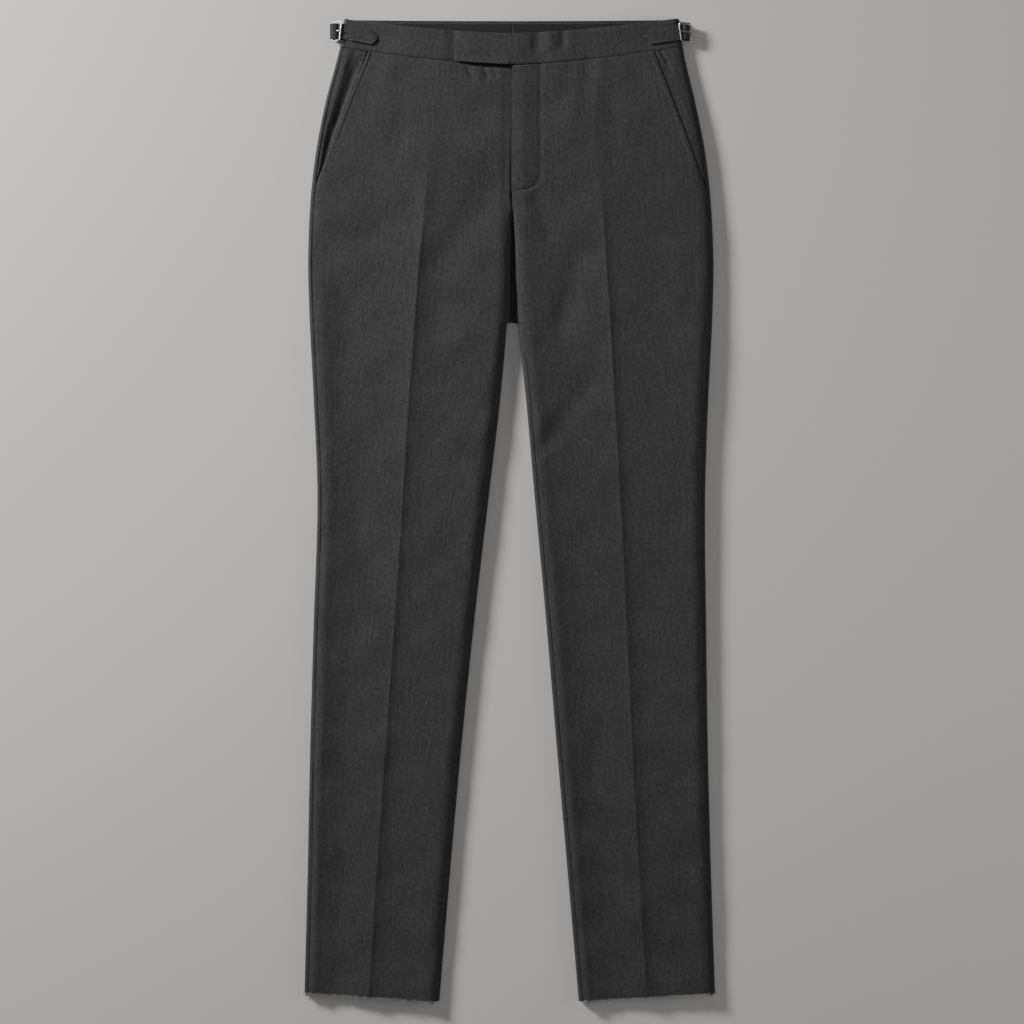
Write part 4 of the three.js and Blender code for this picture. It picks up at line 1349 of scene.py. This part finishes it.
def frayed_hem(word, half):
    """Warp and weft ends that stick out of the raw edge of a leg, from the front and the back."""
    random = np.random.default_rng(FRAY_SEEDS[word])
    strands = []
    for line, low, high in ((front_line, 0.0, 2.9), (back_line, 1.0, 3.9)):
        places = random.uniform(low, high, FRAYS_PER_LAYER)
        y = settled_y(half, line, places, np.full_like(places, HEM_Y), 0.0)
        u, z = line(half, places, y)
        long_ones = random.random(FRAYS_PER_LAYER) > LONG_ABOVE
        reach = np.where(
            long_ones, random.uniform(*LONG_FRAYS, len(u)), random.uniform(*SHORT_FRAYS, len(u))
        )
        lean, curl = random.normal(0, 0.5, len(u)), random.normal(0, 0.4, len(u))
        top = line is front_line
        start_z = np.maximum(z + (0.2 if top else -0.5 * CLOTH), FRAY_CLEAR)
        drop = np.minimum(start_z - FRAY_CLEAR, (0.0 if top else 0.4) * reach)
        paths = []
        for share in np.linspace(0, 1, 5):
            forward = (reach + 1.2) * share
            x = -half["side"] * u + forward * (lean + curl * share)
            paths.append(np.stack([x, y + 1.0 - forward, start_z - drop * share ** 1.5], axis=1))
        strands += list(np.stack(paths, axis=1))
    piece = thin_strands(f"hem_fray_{word}", strands, FRAY_RADIUS)
    return dress(piece, FRAY, "flannel")


def thin_strands(name, strands, radius):
    """Three-sided threads through the points of each path, joined in one mesh."""
    deselect()
    bpy.ops.mesh.primitive_circle_add(vertices=3, radius=1.0, fill_type="TRIFAN")
    piece = bpy.context.object
    piece.name = name
    ring = [(v.co.x, v.co.y) for v in piece.data.vertices][:3]
    points, faces = [], []
    for path in strands:
        first = len(points)
        for k, (x, y, z) in enumerate(path):
            size = radius * (1.0 if k < len(path) - 1 else 0.35)
            points += [(x + a * size, y, z + b * size) for a, b in ring]
        for k in range(len(path) - 1):
            for side in range(3):
                here, there = first + 3 * k + side, first + 3 * k + (side + 1) % 3
                faces.append((here, there, there + 3, here + 3))
        last = first + 3 * (len(path) - 1)
        faces += [(first + 2, first + 1, first), (last, last + 1, last + 2)]
    remake(piece, points, faces)
    edit_faces(piece, bpy.ops.mesh.normals_make_consistent, inside=False)
    smooth_shading(piece, 80)
    return piece


# ---- The cloth as it was cut ----------------------------------------------------------------
# What shows of each piece: width and length of the cut in metres, its flat area in square
# metres, and what it lies on. No pattern was at hand, so these are estimates, worked out from
# the finished panels: their extents with what folds round added, and half the surface of
# each. That the areas agree with the panels says nothing of how real ones are cut.

CUTS = {
    "front_cloth": (0.262, 1.158, 0.220, "back_cloth"),
    "back_cloth": (0.275, 1.160, 0.253, "floor"),
    "pocket_facing_cloth": (0.078, 0.162, 0.0051, "back_cloth"),
    "band_back_cloth": (0.222, 0.040, 0.0081, "floor"),
    "band_facing_cloth": (0.198, 0.034, 0.0065, "band_back_cloth"),
    "strap_cloth": (0.019, 0.078, 0.0014, "band_cloth"),
}
FRONT_BANDS = {"right": (0.208, 0.038, 0.0078), "left": (0.270, 0.038, 0.0101)}


def declare_sheets():
    def piece(name):
        return bpy.data.objects[name]

    for word, _ in HALVES:
        extras = {
            "back_cloth": ["hem_fray_" + word],
            "front_cloth": ["pocket_stitches_" + word],
            "strap_cloth": ["strap_stitches_" + word],
        }
        for kind, (width, length, area, below) in CUTS.items():
            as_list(extras.get(kind, []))
        width, length, area = FRONT_BANDS[word]


# ---- Everything -----------------------------------------------------------------------------

def build_pieces():
    for word, half in HALVES:
        pocket_facing(word, half)
        back_band(word, half)
        band_facing(word, half)
        strap(word, ADJUSTERS[word])
        strap_stitches(word, ADJUSTERS[word])
        buckle(word, ADJUSTERS[word])
        frayed_hem(word, half)
    band_right()
    band_left()
    fly_shield()
    zip_tape()
    all_stitches()


build_pieces()

# ---- Stage ----------------------------------------------------------------------------------

def stage():
    bpy.ops.mesh.primitive_plane_add(size=6.0, location=(0.0, 0.0, -0.0002))
    floor = bpy.context.object
    floor.name = "floor"
    floor.data.materials.append(FLOOR)


VIEW_WIDTH = 1.2288         # metres across the picture at the height of the cloth
VIEW_MIDDLE = (0.0027, -0.0018)
CLOTH_LEVEL = 0.012


def area_light(name, place, target, size, power, tint):
    data = bpy.data.lights.new(name, "AREA")
    data.shape = "DISK"
    data.size = size
    data.energy = power
    data.color = colour(tint)[:3]
    lamp = bpy.data.objects.new(name, data)
    bpy.context.scene.collection.objects.link(lamp)
    lamp.location = place
    lamp.rotation_euler = (Vector(target) - Vector(place)).to_track_quat("-Z", "Y").to_euler()


def lights():
    area_light("key", (-2.05, 1.4, 1.02), (0.0, 0.0, 0.0), 0.55, 94.0, "#ffffff")
    area_light("fill", (2.3, -0.2, 0.8), (0.0, 0.0, 0.0), 1.2, 11.0, "#ffffff")
    area_light("top", (0.2, 0.1, 2.6), (0.0, 0.0, 0.0), 2.2, 6.0, "#ffffff")
    world = bpy.data.worlds.new("studio")
    bpy.context.scene.world = world
    world.use_nodes = True
    set_shader(world.node_tree.nodes["Background"], Color=colour("#e4e4e6"), Strength=0.14)


def camera():
    data = bpy.data.cameras.new("camera")
    data.lens = 85.0
    data.sensor_width = 36.0
    lens = bpy.data.objects.new("camera", data)
    bpy.context.scene.collection.objects.link(lens)
    away = VIEW_WIDTH * data.lens / data.sensor_width + CLOTH_LEVEL
    lens.location = (*VIEW_MIDDLE, away)
    bpy.context.scene.camera = lens


stage()
declare_sheets()
lights()
camera()
